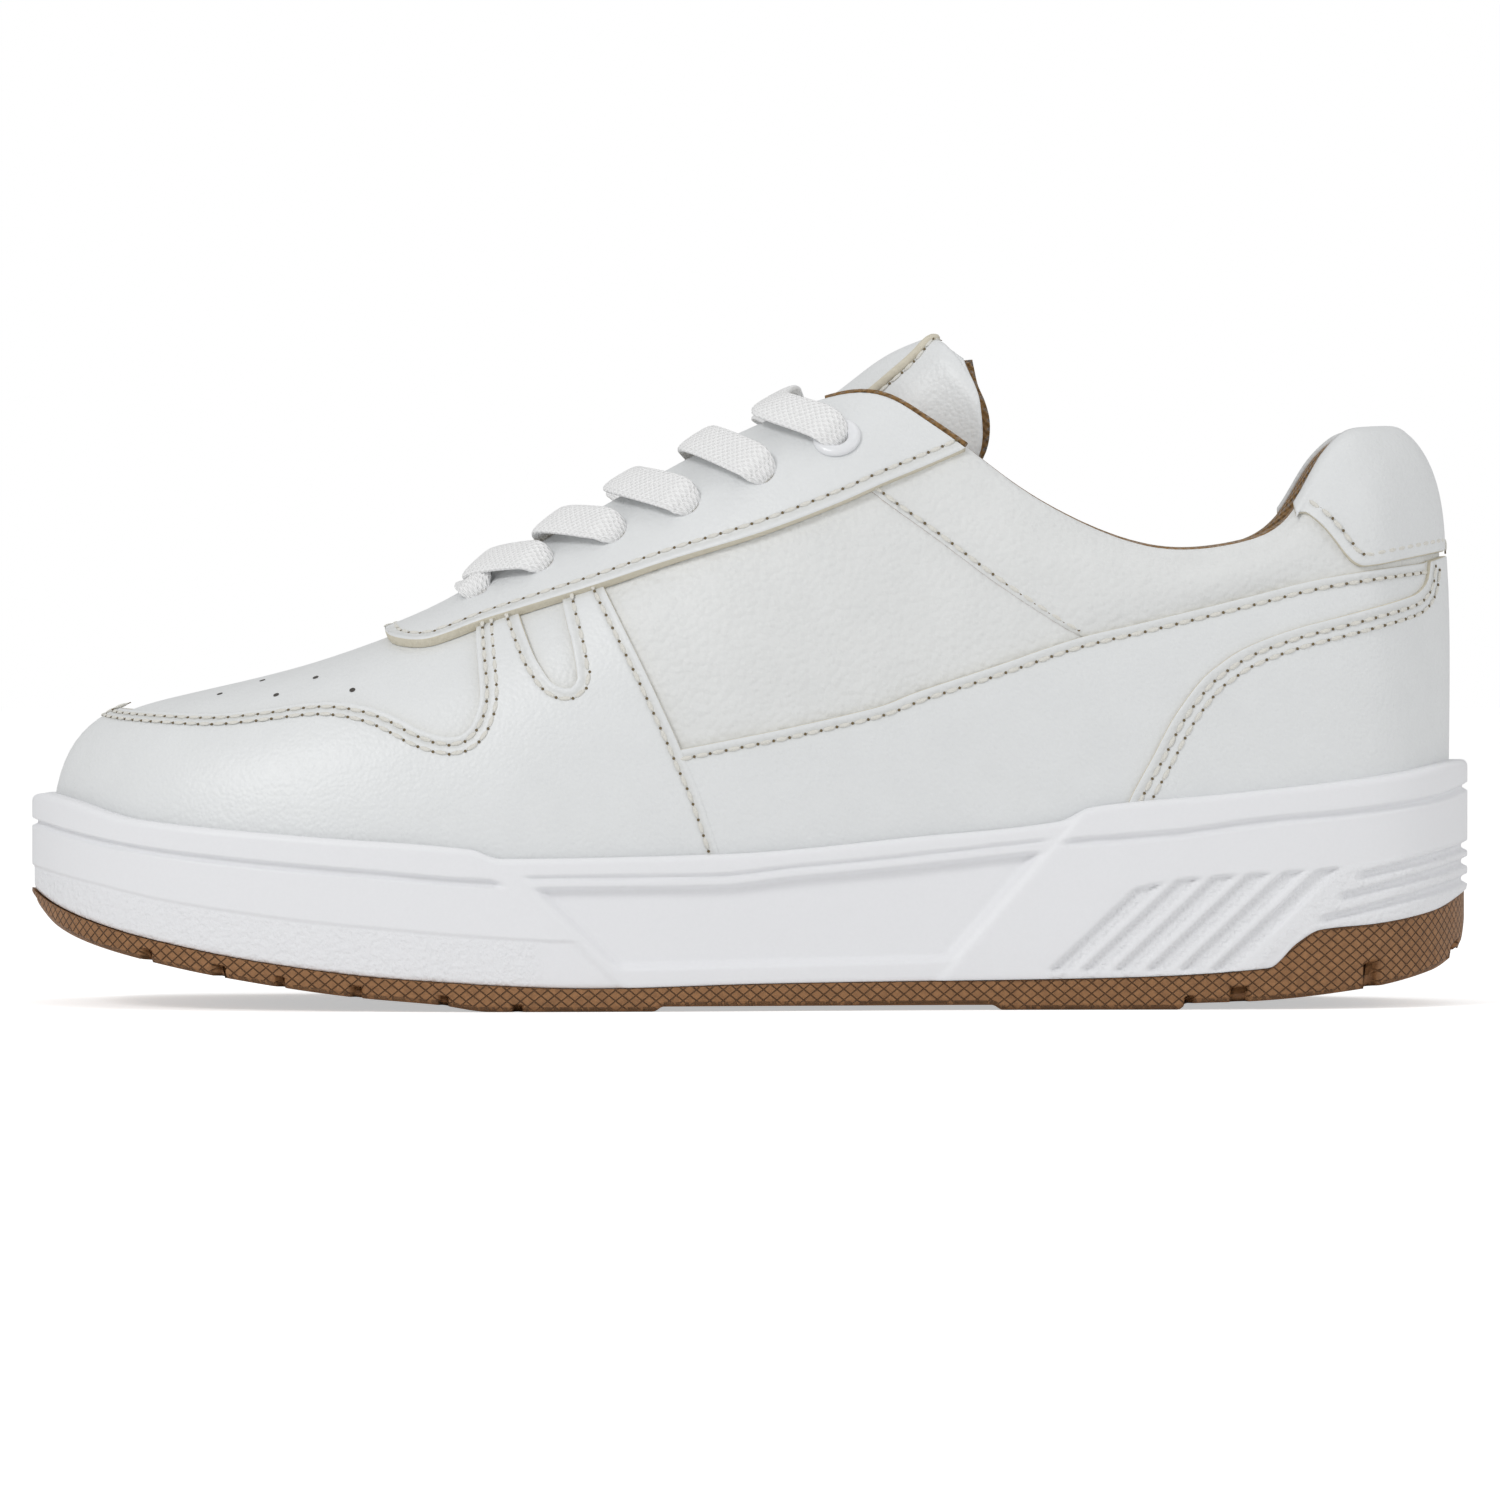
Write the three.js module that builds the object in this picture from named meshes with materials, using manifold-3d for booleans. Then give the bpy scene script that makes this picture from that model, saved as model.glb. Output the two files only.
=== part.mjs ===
// A left low-top court shoe, in millimetres.
// The toe points along -X, the outer side of the foot faces -Y and +Z is up.
// The origin is on the floor, under the middle of the shoe.
//
// Every piece of the upper is a skin over one surface, "the last", at its own depth.
// A place on the last is (g, t). g runs round the shoe: 0 at the toe tip, 16 at the back of
// the heel, negative on the outer side. t runs up a rib, from the sole at 0 to the opening at 1.

import * as THREE from "three";
import { mergeVertices } from "three/addons/utils/BufferGeometryUtils.js";
import Module from "manifold-3d";

const wasm = await Module();
wasm.setup();

// ---- driving dimensions ----

const length = 300;
const width = 108;

const wallThick = 3.2;
const cupClearance = 0.4;
const layerGap = 0.5;
const overlayGap = 0.65;
const solidGap = 0.3;

const leather = 1.2;
const overlayThick = 1.2;
const stiffener = 0.8;
const lining = 0.8;
const collarPad = 4.5;

const boardThick = 1.6;
const sockForefoot = 4;
const sockHeel = 6;

const tongueFace = 1.2;
const tonguePad = 3;
const tongueGap = 1.1;
const tongueLining = 0.8;

const laceRadius = 1.25;
const eyeletHole = 2.5;
const ringHole = 3.1;
const ringBore = 2.2;
const ringFlange = 4.9;
const agletLength = 16;
const agletRadius = 1.5;

const grooveWidth = 2.2;
const grooveDepth = 2.4;

// ---- outlines and heights: [x, value], from the toe to the heel ----

const heelStation = 16;
const ridgeEnd = 5;

// plan of the sole: [x, outer side, inner side], as shares of half the length and half the width
const plan = [
  [-1.0, 0.09, 0.09],
  [-0.965, -0.25, 0.45],
  [-0.873, -0.62, 0.74],
  [-0.72, -0.85, 0.925],
  [-0.533, -0.965, 1.0],
  [-0.413, -0.995, 0.98],
  [-0.32, -1.0, 0.925],
  [-0.167, -0.972, 0.815],
  [0.0, -0.907, 0.722],
  [0.16, -0.843, 0.685],
  [0.28, -0.796, 0.685],
  [0.413, -0.768, 0.704],
  [0.58, -0.75, 0.731],
  [0.733, -0.713, 0.722],
  [0.85, -0.625, 0.63],
  [0.945, -0.41, 0.415],
  [1.0, 0.0, 0.0],
];

const treadLine = [
  [-150, 23.2], [-147.6, 20.4], [-142.9, 16.4], [-136.3, 13.5], [-123.7, 10.1], [-108, 6.9],
  [-80, 2.9], [-62.7, 1.4], [-52, 0], [-19, 0], [-17, 1], [50, 1], [52, 0], [88, 0],
  [90, 1.2], [102.6, 1.6], [125.4, 3.9], [141, 7.4], [145.8, 9.9], [148.2, 12.2], [150, 20],
];
const outsoleTop = [
  [-150, 24.1], [-144.3, 21], [-136.3, 18], [-123, 14.4], [-96.3, 9.4], [-69.7, 6.4],
  [-30.9, 4.6], [2.4, 5.4], [73.5, 6.4], [106.3, 8.3], [112.2, 13.4], [117, 16.1],
  [129, 17.3], [141, 19.7], [150, 24.1],
];
const rimLine = [
  [-150, 43.4], [-147.6, 43.8], [-142.9, 43], [-126.3, 38.8], [-89.6, 35.4], [-56.4, 32.9],
  [-50, 31], [-4.3, 31.9], [35.7, 35.4], [63.7, 38.4], [70.3, 41.3], [99, 44.1], [135, 48.2],
  [145.2, 51.8], [150, 52.2],
];
const cupFloor = [
  [-150, 28], [-130, 21], [-100, 14], [-60, 9.5], [-20, 8], [40, 9], [80, 10], [105, 13],
  [118, 20.5], [135, 23.5], [150, 27.5],
];
const coreTop = [
  [-150, 31], [-130, 26], [-100, 21], [-60, 18], [-20, 18.5], [20, 22], [60, 27], [100, 30],
  [150, 31],
];

// edges of the overlays, as seen from the side
const guardEdge = [
  [-150, 60], [-134.9, 60.6], [-109.7, 59.3], [-89.6, 61.6], [-76.3, 60.7], [-66.3, 56.4],
  [-61.6, 55.6], [-57.5, 58], [-54, 66], [-52.5, 78.5], [-29.5, 85], [0, 95],
];
const eyestayEdge = [
  [-76, 78.5], [-75, 76.4], [-72.6, 74.5], [-67.8, 73.9], [-53.5, 78.3], [-29.5, 86], [2.6, 96.6],
  [18.1, 102.6], [38.3, 111.2], [46, 114.6],
];
const sideEdge = [
  [-20, 51.5], [-0.5, 55.5], [26.4, 61.6], [50.4, 69.9], [81.1, 78.8], [114.4, 87], [150, 92.5],
];
const heelEdge = [
  [76, 34], [77.9, 42.1], [87.2, 59.7], [96.4, 70.3], [110.4, 77], [134.4, 83.9], [139.2, 87.9],
  [150, 89.5],
];
const tabEdge = [
  [110, 104], [112.5, 101.2], [118.4, 97.6], [123, 93.5], [127.6, 92.4], [150, 95.5],
];

// the opening edge of the upper: [x, half gap, z], and the ribs that rise to it:
// direction of arrival [along, inward, up], handle lengths at the sole and at the edge
const ribs = [
  { edge: [-113, 0, 65.2], arrive: [1, 0, 0.2], rise: 27, run: 24, ridge: 3 },
  { edge: [-110, 0, 66], arrive: [0.85, 0.5, 0.18], rise: 27, run: 24, ridge: 3 },
  { edge: [-104, 0, 67.4], arrive: [0.5, 0.85, 0.12], rise: 30, run: 26, ridge: 2.5 },
  { edge: [-92, 0, 70.5], arrive: [0.15, 1, 0.05], rise: 33, run: 32, ridge: 1.5 },
  { edge: [-75, 0, 76.3], arrive: [0, 1, 0], rise: 38, run: 34, ridge: 0 },
  { edge: [-62, 0, 82], arrive: [0, 1, 0], rise: 40, run: 34, ridge: 0 },
  { edge: [-50, 8.5, 89.5], arrive: [0, 0.95, 0.3], rise: 42, run: 30, ridge: 0 },
  { edge: [-27, 12, 103], arrive: [0, 0.93, 0.37], rise: 46, run: 30, ridge: 0 },
  { edge: [0, 16, 117.5], arrive: [0, 0.9, 0.42], rise: 50, run: 32, ridge: 0 },
  { edge: [24, 19.5, 126.3], arrive: [0, 0.75, 0.66], rise: 50, run: 34, ridge: 0 },
  { edge: [39, 25, 119], arrive: [0, 0.55, 0.85], rise: 46, run: 34, ridge: 0 },
  { edge: [60, 31, 104.5], arrive: [0, 0.35, 0.95], rise: 40, run: 30, ridge: 0 },
  { edge: [87, 32.5, 94.6], arrive: [0, 0.25, 0.97], rise: 32, run: 24, ridge: 0 },
  { edge: [108, 29, 98.5], arrive: [-0.05, 0.3, 0.95], rise: 34, run: 24, ridge: 0 },
  { edge: [118.5, 22, 114], arrive: [-0.3, 0.5, 0.75], rise: 42, run: 24, ridge: 0 },
  { edge: [125.5, 14, 119.2], arrive: [-0.6, 0.35, 0.6], rise: 46, run: 18, ridge: 0 },
  { edge: [134, 0, 119.8], arrive: [-0.8, 0, 0.5], rise: 50, run: 16, ridge: 0 },
];

// the tongue's outer face. Under the lacing its sides keep below the last at a station;
// above it they stand free, at [x, y, z]
const tongueUnder = [
  { middle: [-70, 71], station: 4.5, shoulder: 0.93, side: 0.86 },
  { middle: [-61, 75.6], station: 5.2, shoulder: 0.93, side: 0.84 },
  { middle: [-50, 82.6], station: 6, shoulder: 0.97, side: 0.86 },
  { middle: [-27, 98.4], station: 7, shoulder: 0.97, side: 0.85 },
  { middle: [0, 113.2], station: 8, shoulder: 0.97, side: 0.85 },
];
const tongueFree = [
  { middle: [19, 0, 127], shoulder: [22, 12, 119.5], side: [27, 20.5, 105] },
  { middle: [29, 0, 134], shoulder: [34, 12.5, 128.5], side: [46, 19.5, 111] },
  { middle: [36, 0, 137.4], shoulder: [39.5, 12, 135.4], side: [48, 19.5, 124] },
  { middle: [38.5, 0, 138], shoulder: [41, 9.5, 137], side: [44.5, 14, 134] },
];

// eyelets on the outer side, from the toe up: [x, z]
const eyelets = [
  [-54.5, 83.9], [-41, 89.6], [-26.1, 95.9], [-11.1, 101.8], [3.9, 108.2], [18.6, 115.6],
];

const grooveAt = [-122.8, -107.7, -95, -79.4, -61.6, -46.6, -32, 62, 75, 100.5, 128];

// ---- curves ----

function monotoneSlopes(xs, ys) {
  const secants = xs.slice(1).map((x, i) => (ys[i + 1] - ys[i]) / (x - xs[i]));
  const slopes = [secants[0]];
  for (let i = 1; i < secants.length; i += 1) {
    const [before, after] = [secants[i - 1], secants[i]];
    slopes.push(before * after <= 0 ? 0 : (2 * before * after) / (before + after));
  }
  slopes.push(secants.at(-1));
  return slopes;
}

function hermite(xs, ys, slopes, x) {
  let i = 0;
  while (i < xs.length - 2 && x > xs[i + 1]) {
    i += 1;
  }
  const step = xs[i + 1] - xs[i];
  const u = THREE.MathUtils.clamp((x - xs[i]) / step, 0, 1);
  const rest = 1 - u;
  const start = ys[i] * (1 + 2 * u) * rest * rest + slopes[i] * step * u * rest * rest;
  return start + ys[i + 1] * u * u * (3 - 2 * u) - slopes[i + 1] * step * u * u * rest;
}

// a smooth height along the shoe that never overshoots its points
function along(points) {
  const xs = points.map((point) => (point[0] * length) / 300);
  const ys = points.map((point) => point[1]);
  const slopes = monotoneSlopes(xs, ys);
  return (x) => hermite(xs, ys, slopes, x);
}

// a smooth closed run of numbers round the shoe, one for each station
function around(values) {
  const count = values.length;
  const xs = [];
  const ys = [];
  for (let i = -3; i <= count + 3; i += 1) {
    xs.push(i);
    ys.push(values[(i + count) % count]);
  }
  const slopes = monotoneSlopes(xs, ys);
  return (g) => hermite(xs, ys, slopes, ((g % count) + count) % count);
}

// values at the stations of the inner side, then back along the outer side
function bothSides(inner, outer) {
  const values = [];
  for (let k = 0; k <= heelStation; k += 1) {
    values.push(inner(k));
  }
  for (let k = heelStation - 1; k > 0; k -= 1) {
    values.push(outer(k));
  }
  return around(values);
}

const tread = along(treadLine);
const outsoleHeight = along(outsoleTop);
const rimHeight = along(rimLine);
const floorHeight = along(cupFloor);
const coreHeight = along(coreTop);
const boardTop = (x) => coreHeight(x) + solidGap + boardThick;
const baseHeight = (x) => coreHeight(x) + 2 * solidGap;
const sockThick = (x) =>
  THREE.MathUtils.mapLinear(x, -length / 2, length / 2, sockForefoot, sockHeel);
const sockTop = (x) => boardTop(x) + solidGap + sockThick(x);

const planX = bothSides((k) => (plan[k][0] * length) / 2, (k) => (plan[k][0] * length) / 2);
const planY = bothSides((k) => (plan[k][2] * width) / 2, (k) => (plan[k][1] * width) / 2);

// the sole's outline, moved inwards
function outline(g, inset) {
  const reach = 0.02;
  const dx = planX(g + reach) - planX(g - reach);
  const dy = planY(g + reach) - planY(g - reach);
  const size = Math.hypot(dx, dy);
  return new THREE.Vector2(planX(g) + (dy / size) * inset, planY(g) - (dx / size) * inset);
}

// ---- the last ----

const outerLayer = overlayGap + overlayThick;
const lastInset = wallThick + cupClearance + outerLayer;
const scaleX = length / 300;
const scaleY = width / 108;

const rib = (pick) => bothSides((k) => pick(ribs[k], 1), (k) => pick(ribs[k], -1));
const edgeX = rib((r) => r.edge[0] * scaleX);
const edgeY = rib((r, side) => (side * r.edge[1] + r.ridge) * scaleY);
const edgeZ = rib((r) => r.edge[2]);
const arriveX = rib((r) => r.arrive[0]);
const arriveY = rib((r, side) => -side * r.arrive[1]);
const arriveZ = rib((r) => r.arrive[2]);
const riseAt = rib((r) => r.rise);
const runAt = rib((r) => r.run);

function onLast(g, t) {
  const foot = outline(g, lastInset);
  const footZ = baseHeight(foot.x);
  const run = runAt(g);
  const arrive = new THREE.Vector3(arriveX(g), arriveY(g), arriveZ(g)).normalize();
  const edge = new THREE.Vector3(edgeX(g), edgeY(g), edgeZ(g));
  const curve = new THREE.CubicBezierCurve3(
    new THREE.Vector3(foot.x, foot.y, footZ),
    new THREE.Vector3(foot.x, foot.y, footZ + riseAt(g)),
    edge.clone().addScaledVector(arrive, -run),
    edge,
  );
  return curve.getPoint(t);
}

function slopeNormal(g, t) {
  const reach = 0.01;
  const low = Math.max(t - reach, 0);
  const high = Math.min(t + reach, 1);
  const up = onLast(g, high).sub(onLast(g, low));
  const round = onLast(g + 4 * reach, t).sub(onLast(g - 4 * reach, t));
  return up.cross(round).normalize();
}

// outward normal; along the ridge both halves share one
function lastNormal(g, t) {
  const turn = g > heelStation ? g - 2 * heelStation : g;
  const normal = slopeNormal(turn, Math.min(t, 0.985));
  if (t > 0.985 && Math.abs(turn) <= ridgeEnd) {
    normal.add(slopeNormal(-turn, 0.985)).normalize();
  }
  return normal;
}

function offLast(g, t, depth) {
  return onLast(g, t).addScaledVector(lastNormal(g, t), depth);
}

// how far up a rib the last meets a line that is drawn in the side view
function heightOn(g, line) {
  let [low, high] = [0, 1];
  for (let i = 0; i < 30; i += 1) {
    const t = (low + high) / 2;
    const point = onLast(g, t);
    [low, high] = point.z < line(point.x) ? [t, high] : [low, t];
  }
  return (low + high) / 2;
}

// the place on the last with a given x and z; side is 1 inside the foot and -1 outside
function locate(x, z, side) {
  let [low, high] = [ridgeEnd, heelStation - 2];
  for (let i = 0; i < 30; i += 1) {
    const g = (low + high) / 2;
    const t = heightOn(side * g, () => z);
    [low, high] = onLast(side * g, t).x < x ? [g, high] : [low, g];
  }
  const g = (side * (low + high)) / 2;
  return [g, heightOn(g, () => z)];
}

// ---- solids ----

function geometryFrom(triangles) {
  const flat = triangles.flat().flatMap((point) => [point.x, point.y, point.z]);
  const loose = new THREE.BufferGeometry();
  loose.setAttribute("position", new THREE.BufferAttribute(new Float32Array(flat), 3));
  const merged = mergeVertices(loose, 1e-3);
  const index = merged.getIndex().array;
  const faces = new Map();
  for (let i = 0; i < index.length; i += 3) {
    const face = [index[i], index[i + 1], index[i + 2]];
    if (new Set(face).size === 3) {
      const key = [...face].sort((a, b) => a - b).join();
      // two walls back to back close on each other, so both go
      if (faces.has(key)) {
        faces.delete(key);
      } else {
        faces.set(key, face);
      }
    }
  }
  merged.setIndex([...faces.values()].flat());
  return merged;
}

function quad(a, b, c, d) {
  return [[a, b, c], [a, c, d]];
}

// a closed skin between two grids of points; the outer grid's columns run round, its rows up
function skinTriangles(outer, inner) {
  const triangles = [];
  const columns = outer.length - 1;
  const rows = outer[0].length - 1;
  for (let i = 0; i < columns; i += 1) {
    for (let j = 0; j < rows; j += 1) {
      triangles.push(...quad(outer[i][j], outer[i][j + 1], outer[i + 1][j + 1], outer[i + 1][j]));
      triangles.push(...quad(inner[i][j], inner[i + 1][j], inner[i + 1][j + 1], inner[i][j + 1]));
    }
    triangles.push(...quad(inner[i][0], outer[i][0], outer[i + 1][0], inner[i + 1][0]));
    // the same diagonal on both sides of the ridge, so that walls that meet there close
    const [a, b, c, d] = [inner[i][rows], inner[i + 1][rows], outer[i + 1][rows], outer[i][rows]];
    triangles.push(...(a.x < b.x ? quad(a, b, c, d) : quad(b, c, d, a)));
  }
  for (let j = 0; j < rows; j += 1) {
    const last = columns;
    triangles.push(...quad(inner[0][j], inner[0][j + 1], outer[0][j + 1], outer[0][j]));
    triangles.push(...quad(inner[last][j], outer[last][j], outer[last][j + 1], inner[last][j + 1]));
  }
  return triangles;
}

const toeSteps = [0, 0.3, 0.6, 0.95, 1.35, 1.8, 2.3, 2.8, 3.4];
const midSteps = [
  4, 4.5, 5, 5.4, 5.8, 6.2, 6.8, 7.4, 8.2, 9, 9.6, 10.4, 11, 11.6, 12.2, 13, 13.6, 14.1, 14.6,
];
const heelSteps = [15, 15.35, 15.7, 16];
const sideStations = [...toeSteps, ...midSteps, ...heelSteps];
const backStations = sideStations.map((g) => 2 * heelStation - g).reverse();
const stations = [
  ...sideStations.map((g) => -g).reverse(),
  ...sideStations.slice(1),
  ...backStations.slice(1),
];

// stations for a plain inner skin
const plainSteps = [0, 0.6, 1.35, 2.3, 3.4, 4.5, 5, 5.4, 6.2, 7.4, 9, 10.4, 11.6, 13, 14.1, 15, 15.7, 16];
const isPlain = (g) => plainSteps.some((step) => Math.abs(Math.abs(g) - step) < 1e-6
  || Math.abs(2 * heelStation - g - step) < 1e-6);

function stationsBetween(from, to, extra, plain) {
  const near = 0.03;
  const kept = plain ? stations.filter(isPlain) : stations;
  const all = [...kept, ...extra, ...extra.map((g) => -g)].sort((a, b) => a - b);
  const inside = all.filter((g) => g > from + near && g < to - near);
  return [from, ...inside, to];
}

// rows crowd towards the top, where the upper bends most
const rowCrowd = 1.3;
const rowShare = (j, rows) => 1 - (1 - j / rows) ** rowCrowd;

// a piece of the upper: from station to station, from low(g) to high(g), between two depths
// lean(g, t) moves a place round the shoe, for an edge that slants across the ribs
function panelTriangles(piece) {
  const { from, to, low, high, outside, inside, rows } = piece;
  const { extra = [], plain = false, lean = (g) => g } = piece;
  const depth = (value, g, t) => (typeof value === "function" ? value(g, t) : value);
  const settle = (g, limit) => {
    let t = limit(g);
    for (let i = 0; i < 4; i += 1) {
      t = limit(lean(g, t));
    }
    return t;
  };
  const grid = (value) =>
    stationsBetween(from, to, extra, plain).map((g) => {
      const [bottom, top] = [settle(g, low), settle(g, high)];
      return Array.from({ length: rows + 1 }, (_, j) => {
        const t = THREE.MathUtils.lerp(bottom, Math.max(top, bottom), rowShare(j, rows));
        const place = lean(g, t);
        return offLast(place, t, depth(value, place, t));
      });
    });
  return skinTriangles(grid(outside), grid(inside));
}

const panel = (...pieces) => geometryFrom(pieces.flatMap(panelTriangles));

// a solid made of closed loops round the sole, one above the other, flat at both ends
function stack(loops) {
  const round = sideStations.slice(0, -1).concat(backStations.slice(0, -1));
  const rings = loops.map(({ inset, height }) =>
    round.map((g) => {
      const point = outline(g, inset);
      return new THREE.Vector3(point.x, point.y, height(point.x));
    }),
  );
  const count = round.length;
  const triangles = [];
  for (let k = 0; k < rings.length - 1; k += 1) {
    for (let i = 0; i < count; i += 1) {
      const next = (i + 1) % count;
      triangles.push(...quad(rings[k][i], rings[k + 1][i], rings[k + 1][next], rings[k][next]));
    }
  }
  const [first, last] = [rings[0], rings.at(-1)];
  for (let i = 0; i < count / 2; i += 1) {
    const [a, b, c, d] = [i, i + 1, (count - i - 1) % count, (count - i) % count];
    triangles.push(...quad(first[a], first[b], first[c], first[d]));
    triangles.push(...quad(last[a], last[d], last[c], last[b]));
  }
  return geometryFrom(triangles);
}

function toManifold(geometry) {
  const bare = geometry.clone();
  bare.deleteAttribute("normal");
  bare.deleteAttribute("uv");
  const merged = mergeVertices(bare, 1e-4);
  const index = merged.getIndex().array;
  return new wasm.Manifold(new wasm.Mesh({
    numProp: 3,
    vertProperties: new Float32Array(merged.getAttribute("position").array),
    triVerts: new Uint32Array(index),
  }));
}

function cut(geometry, tools) {
  let solid = toManifold(geometry);
  for (const tool of tools) {
    solid = solid.subtract(toManifold(tool));
  }
  const mesh = solid.getMesh();
  const result = new THREE.BufferGeometry();
  result.setAttribute("position", new THREE.BufferAttribute(mesh.vertProperties, 3));
  result.setIndex(new THREE.BufferAttribute(mesh.triVerts, 1));
  return result;
}

// ---- the sole ----

const soleEdgeBevel = 1;

function makeOutsole() {
  const middle = (x) => (tread(x) + outsoleHeight(x)) / 2;
  const lower = (x) => Math.min(tread(x) + soleEdgeBevel, middle(x));
  const body = stack([
    { inset: soleEdgeBevel, height: tread },
    { inset: 0, height: lower },
    { inset: 0, height: outsoleHeight },
  ]);
  const grooves = grooveAt.map((x) => {
    const at = x * scaleX;
    const box = new THREE.BoxGeometry(grooveWidth, 2 * width, 2 * grooveDepth);
    box.translate(at, 0, tread(at));
    return box;
  });
  return cut(body, grooves);
}

function makeMidsole() {
  const rimRound = 1.2;
  return stack([
    { inset: 0, height: (x) => outsoleHeight(x) + solidGap },
    { inset: 0, height: (x) => rimHeight(x) - rimRound },
    { inset: rimRound / 2, height: rimHeight },
    { inset: wallThick, height: (x) => rimHeight(x) - rimRound / 2 },
    { inset: wallThick, height: floorHeight },
  ]);
}

const plate = (inset, bottom, top) => stack([{ inset, height: bottom }, { inset, height: top }]);

const liningDepth = leather + layerGap + stiffener + layerGap;
const insideInset = lastInset + liningDepth + lining;
const boardInset = insideInset + 5 * solidGap;
const sockInset = insideInset + 6 * solidGap;

// ---- the upper ----

const none = () => 0;
const full = () => 1;
const guardTop = along(guardEdge);
const eyestayLow = along(eyestayEdge);
const sideTop = along(sideEdge);
const heelTop = along(heelEdge);
const tabLow = along(tabEdge);
const seamGap = 0.9;
const heelStart = 11.6;

const onLine = (line, shift) => (g) => heightOn(g, (x) => line(x) + shift);
const mirror = (side, from, to) => (side > 0 ? { from, to } : { from: -to, to: -from });

const base = { outside: 0, inside: -leather };
const overlay = { outside: outerLayer, inside: overlayGap };
const backingThick = 0.4;
const backingDepth = leather + (2 * layerGap + stiffener - backingThick) / 2;
const backed = { outside: -backingDepth, inside: -backingDepth - backingThick };
const hidden = { outside: -leather - layerGap, inside: -leather - layerGap - stiffener };

const vampEnd = 6.4;
const quarterStart = 6.6;
const heelSeam = heelStation - 0.06;
const heelJoin = 12.4;

// the collar's padding grows from nothing at the eyestay to its full depth round the ankle
function padAt(g, t) {
  const station = g > heelStation ? 2 * heelStation - g : Math.abs(g);
  const round = THREE.MathUtils.smoothstep(station, 9.8, 12);
  const up = THREE.MathUtils.smoothstep(t, 0.5, 0.75);
  return collarPad * round * up;
}
const liningOutside = (g, t) => -liningDepth - padAt(g, t);
const liningInside = (g, t) => -liningDepth - lining - padAt(g, t);
const liningSkin = { outside: liningOutside, inside: liningInside, plain: true };

// tool that bores through every layer at one eyelet
function borer(place, radius) {
  const [g, t] = place;
  const bore = new THREE.CylinderGeometry(radius, radius, 24, 8);
  const turn = new THREE.Quaternion().setFromUnitVectors(new THREE.Vector3(0, 1, 0), lastNormal(g, t));
  bore.applyQuaternion(turn);
  const at = onLast(g, t);
  bore.translate(at.x, at.y, at.z);
  return bore;
}

const eyeletPlaces = (side) => eyelets.map(([x, z]) => locate(x * scaleX, z, side));
const places = { 1: eyeletPlaces(1), "-1": eyeletPlaces(-1) };
const boreRadius = (i) => (i === eyelets.length - 1 ? ringHole : eyeletHole);
const borers = (side) => places[side].map((place, i) => borer(place, boreRadius(i)));
const allBorers = [...borers(1), ...borers(-1)];

// the station between two others where a side-view line meets the opening edge
function edgeMeets(line, from, to) {
  const above = (g) => edgeZ(g) > line(edgeX(g));
  let [low, high] = [from, to];
  for (let i = 0; i < 30; i += 1) {
    const g = (low + high) / 2;
    [low, high] = above(g) === above(from) ? [g, high] : [low, g];
  }
  return (low + high) / 2;
}

const eyestayFront = edgeMeets(eyestayLow, 3, 5);
const eyestayBack = edgeMeets(eyestayLow, 9, 10.8);

function makeEyestay() {
  const half = (side) => ({
    ...mirror(side, eyestayFront, eyestayBack),
    ...overlay,
    low: onLine(eyestayLow, 0),
    high: full,
    rows: 4,
    extra: [4.06, 4.12, 4.2, 4.33, 4.75],
  });
  return cut(panel(half(-1), half(1)), allBorers);
}

// the guard's rear edge leans forward as it rises, and the side overlay follows it
const guardFoot = 7.76;
const guardLean = 1.05;
const leanStart = 5.6;
const leanEnd = 10.5;
const overlayStart = guardFoot + 0.06;

function guardSlant(g, t) {
  const station = Math.abs(g);
  const before = THREE.MathUtils.clamp((station - leanStart) / (guardFoot - leanStart), 0, 1);
  const after = THREE.MathUtils.clamp((leanEnd - station) / (leanEnd - overlayStart), 0, 1);
  return g - Math.sign(g) * guardLean * t * Math.min(before, after);
}

function makeGuard() {
  const under = (g) => heightOn(g, (x) => Math.min(guardTop(x), eyestayLow(x) - seamGap));
  const triangles = panelTriangles({
    from: -guardFoot, to: guardFoot, ...overlay, low: none, high: under, rows: 7, lean: guardSlant,
    extra: [5.2, 5.6, 6],
  });
  return geometryFrom(triangles);
}

function makeSideOverlay(side) {
  const low = (g) => (Math.abs(g) < heelStart ? 0 : heightOn(g, (x) => heelTop(x) + seamGap));
  return panel({
    ...mirror(side, overlayStart, 15.1),
    ...overlay,
    low,
    high: onLine(sideTop, 0),
    rows: 6,
    lean: guardSlant,
  });
}

const heelWrap = (from) => ({ from, to: 2 * heelStation - from });

function makeCollarFoam() {
  const outside = -leather - 2 * layerGap;
  const inside = (g, t) => Math.min(liningOutside(g, t) + layerGap, outside - 0.3);
  return panel({
    ...heelWrap(10.6), outside, inside, low: () => 0.64, high: () => 0.97, rows: 4,
  });
}

// ---- the tongue ----

const laceClearance = 1.3;
const tongueDrop = liningDepth + lining + 2 * laceRadius + 1.4 * laceClearance;

const underRows = tongueUnder.map(({ middle, station, shoulder, side }) => {
  const beside = (sign, t, depth) => {
    const point = offLast(sign * station, t, -depth);
    const across = offLast(-sign * station, t, -depth);
    return point.setY((sign * (Math.abs(point.y) + Math.abs(across.y))) / 2);
  };
  const crest = new THREE.Vector3(middle[0] * scaleX, 0, middle[1]);
  const [low, high] = [tongueDrop + 1, tongueDrop];
  return [
    beside(-1, side, low), beside(-1, shoulder, high), crest,
    beside(1, shoulder, high), beside(1, side, low),
  ];
});
const freeRows = tongueFree.map((row) => {
  const at = (point, side) =>
    new THREE.Vector3(point[0] * scaleX, side * point[1] * scaleY, point[2]);
  return [at(row.side, -1), at(row.shoulder, -1), at(row.middle, 1), at(row.shoulder, 1), at(row.side, 1)];
});
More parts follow.
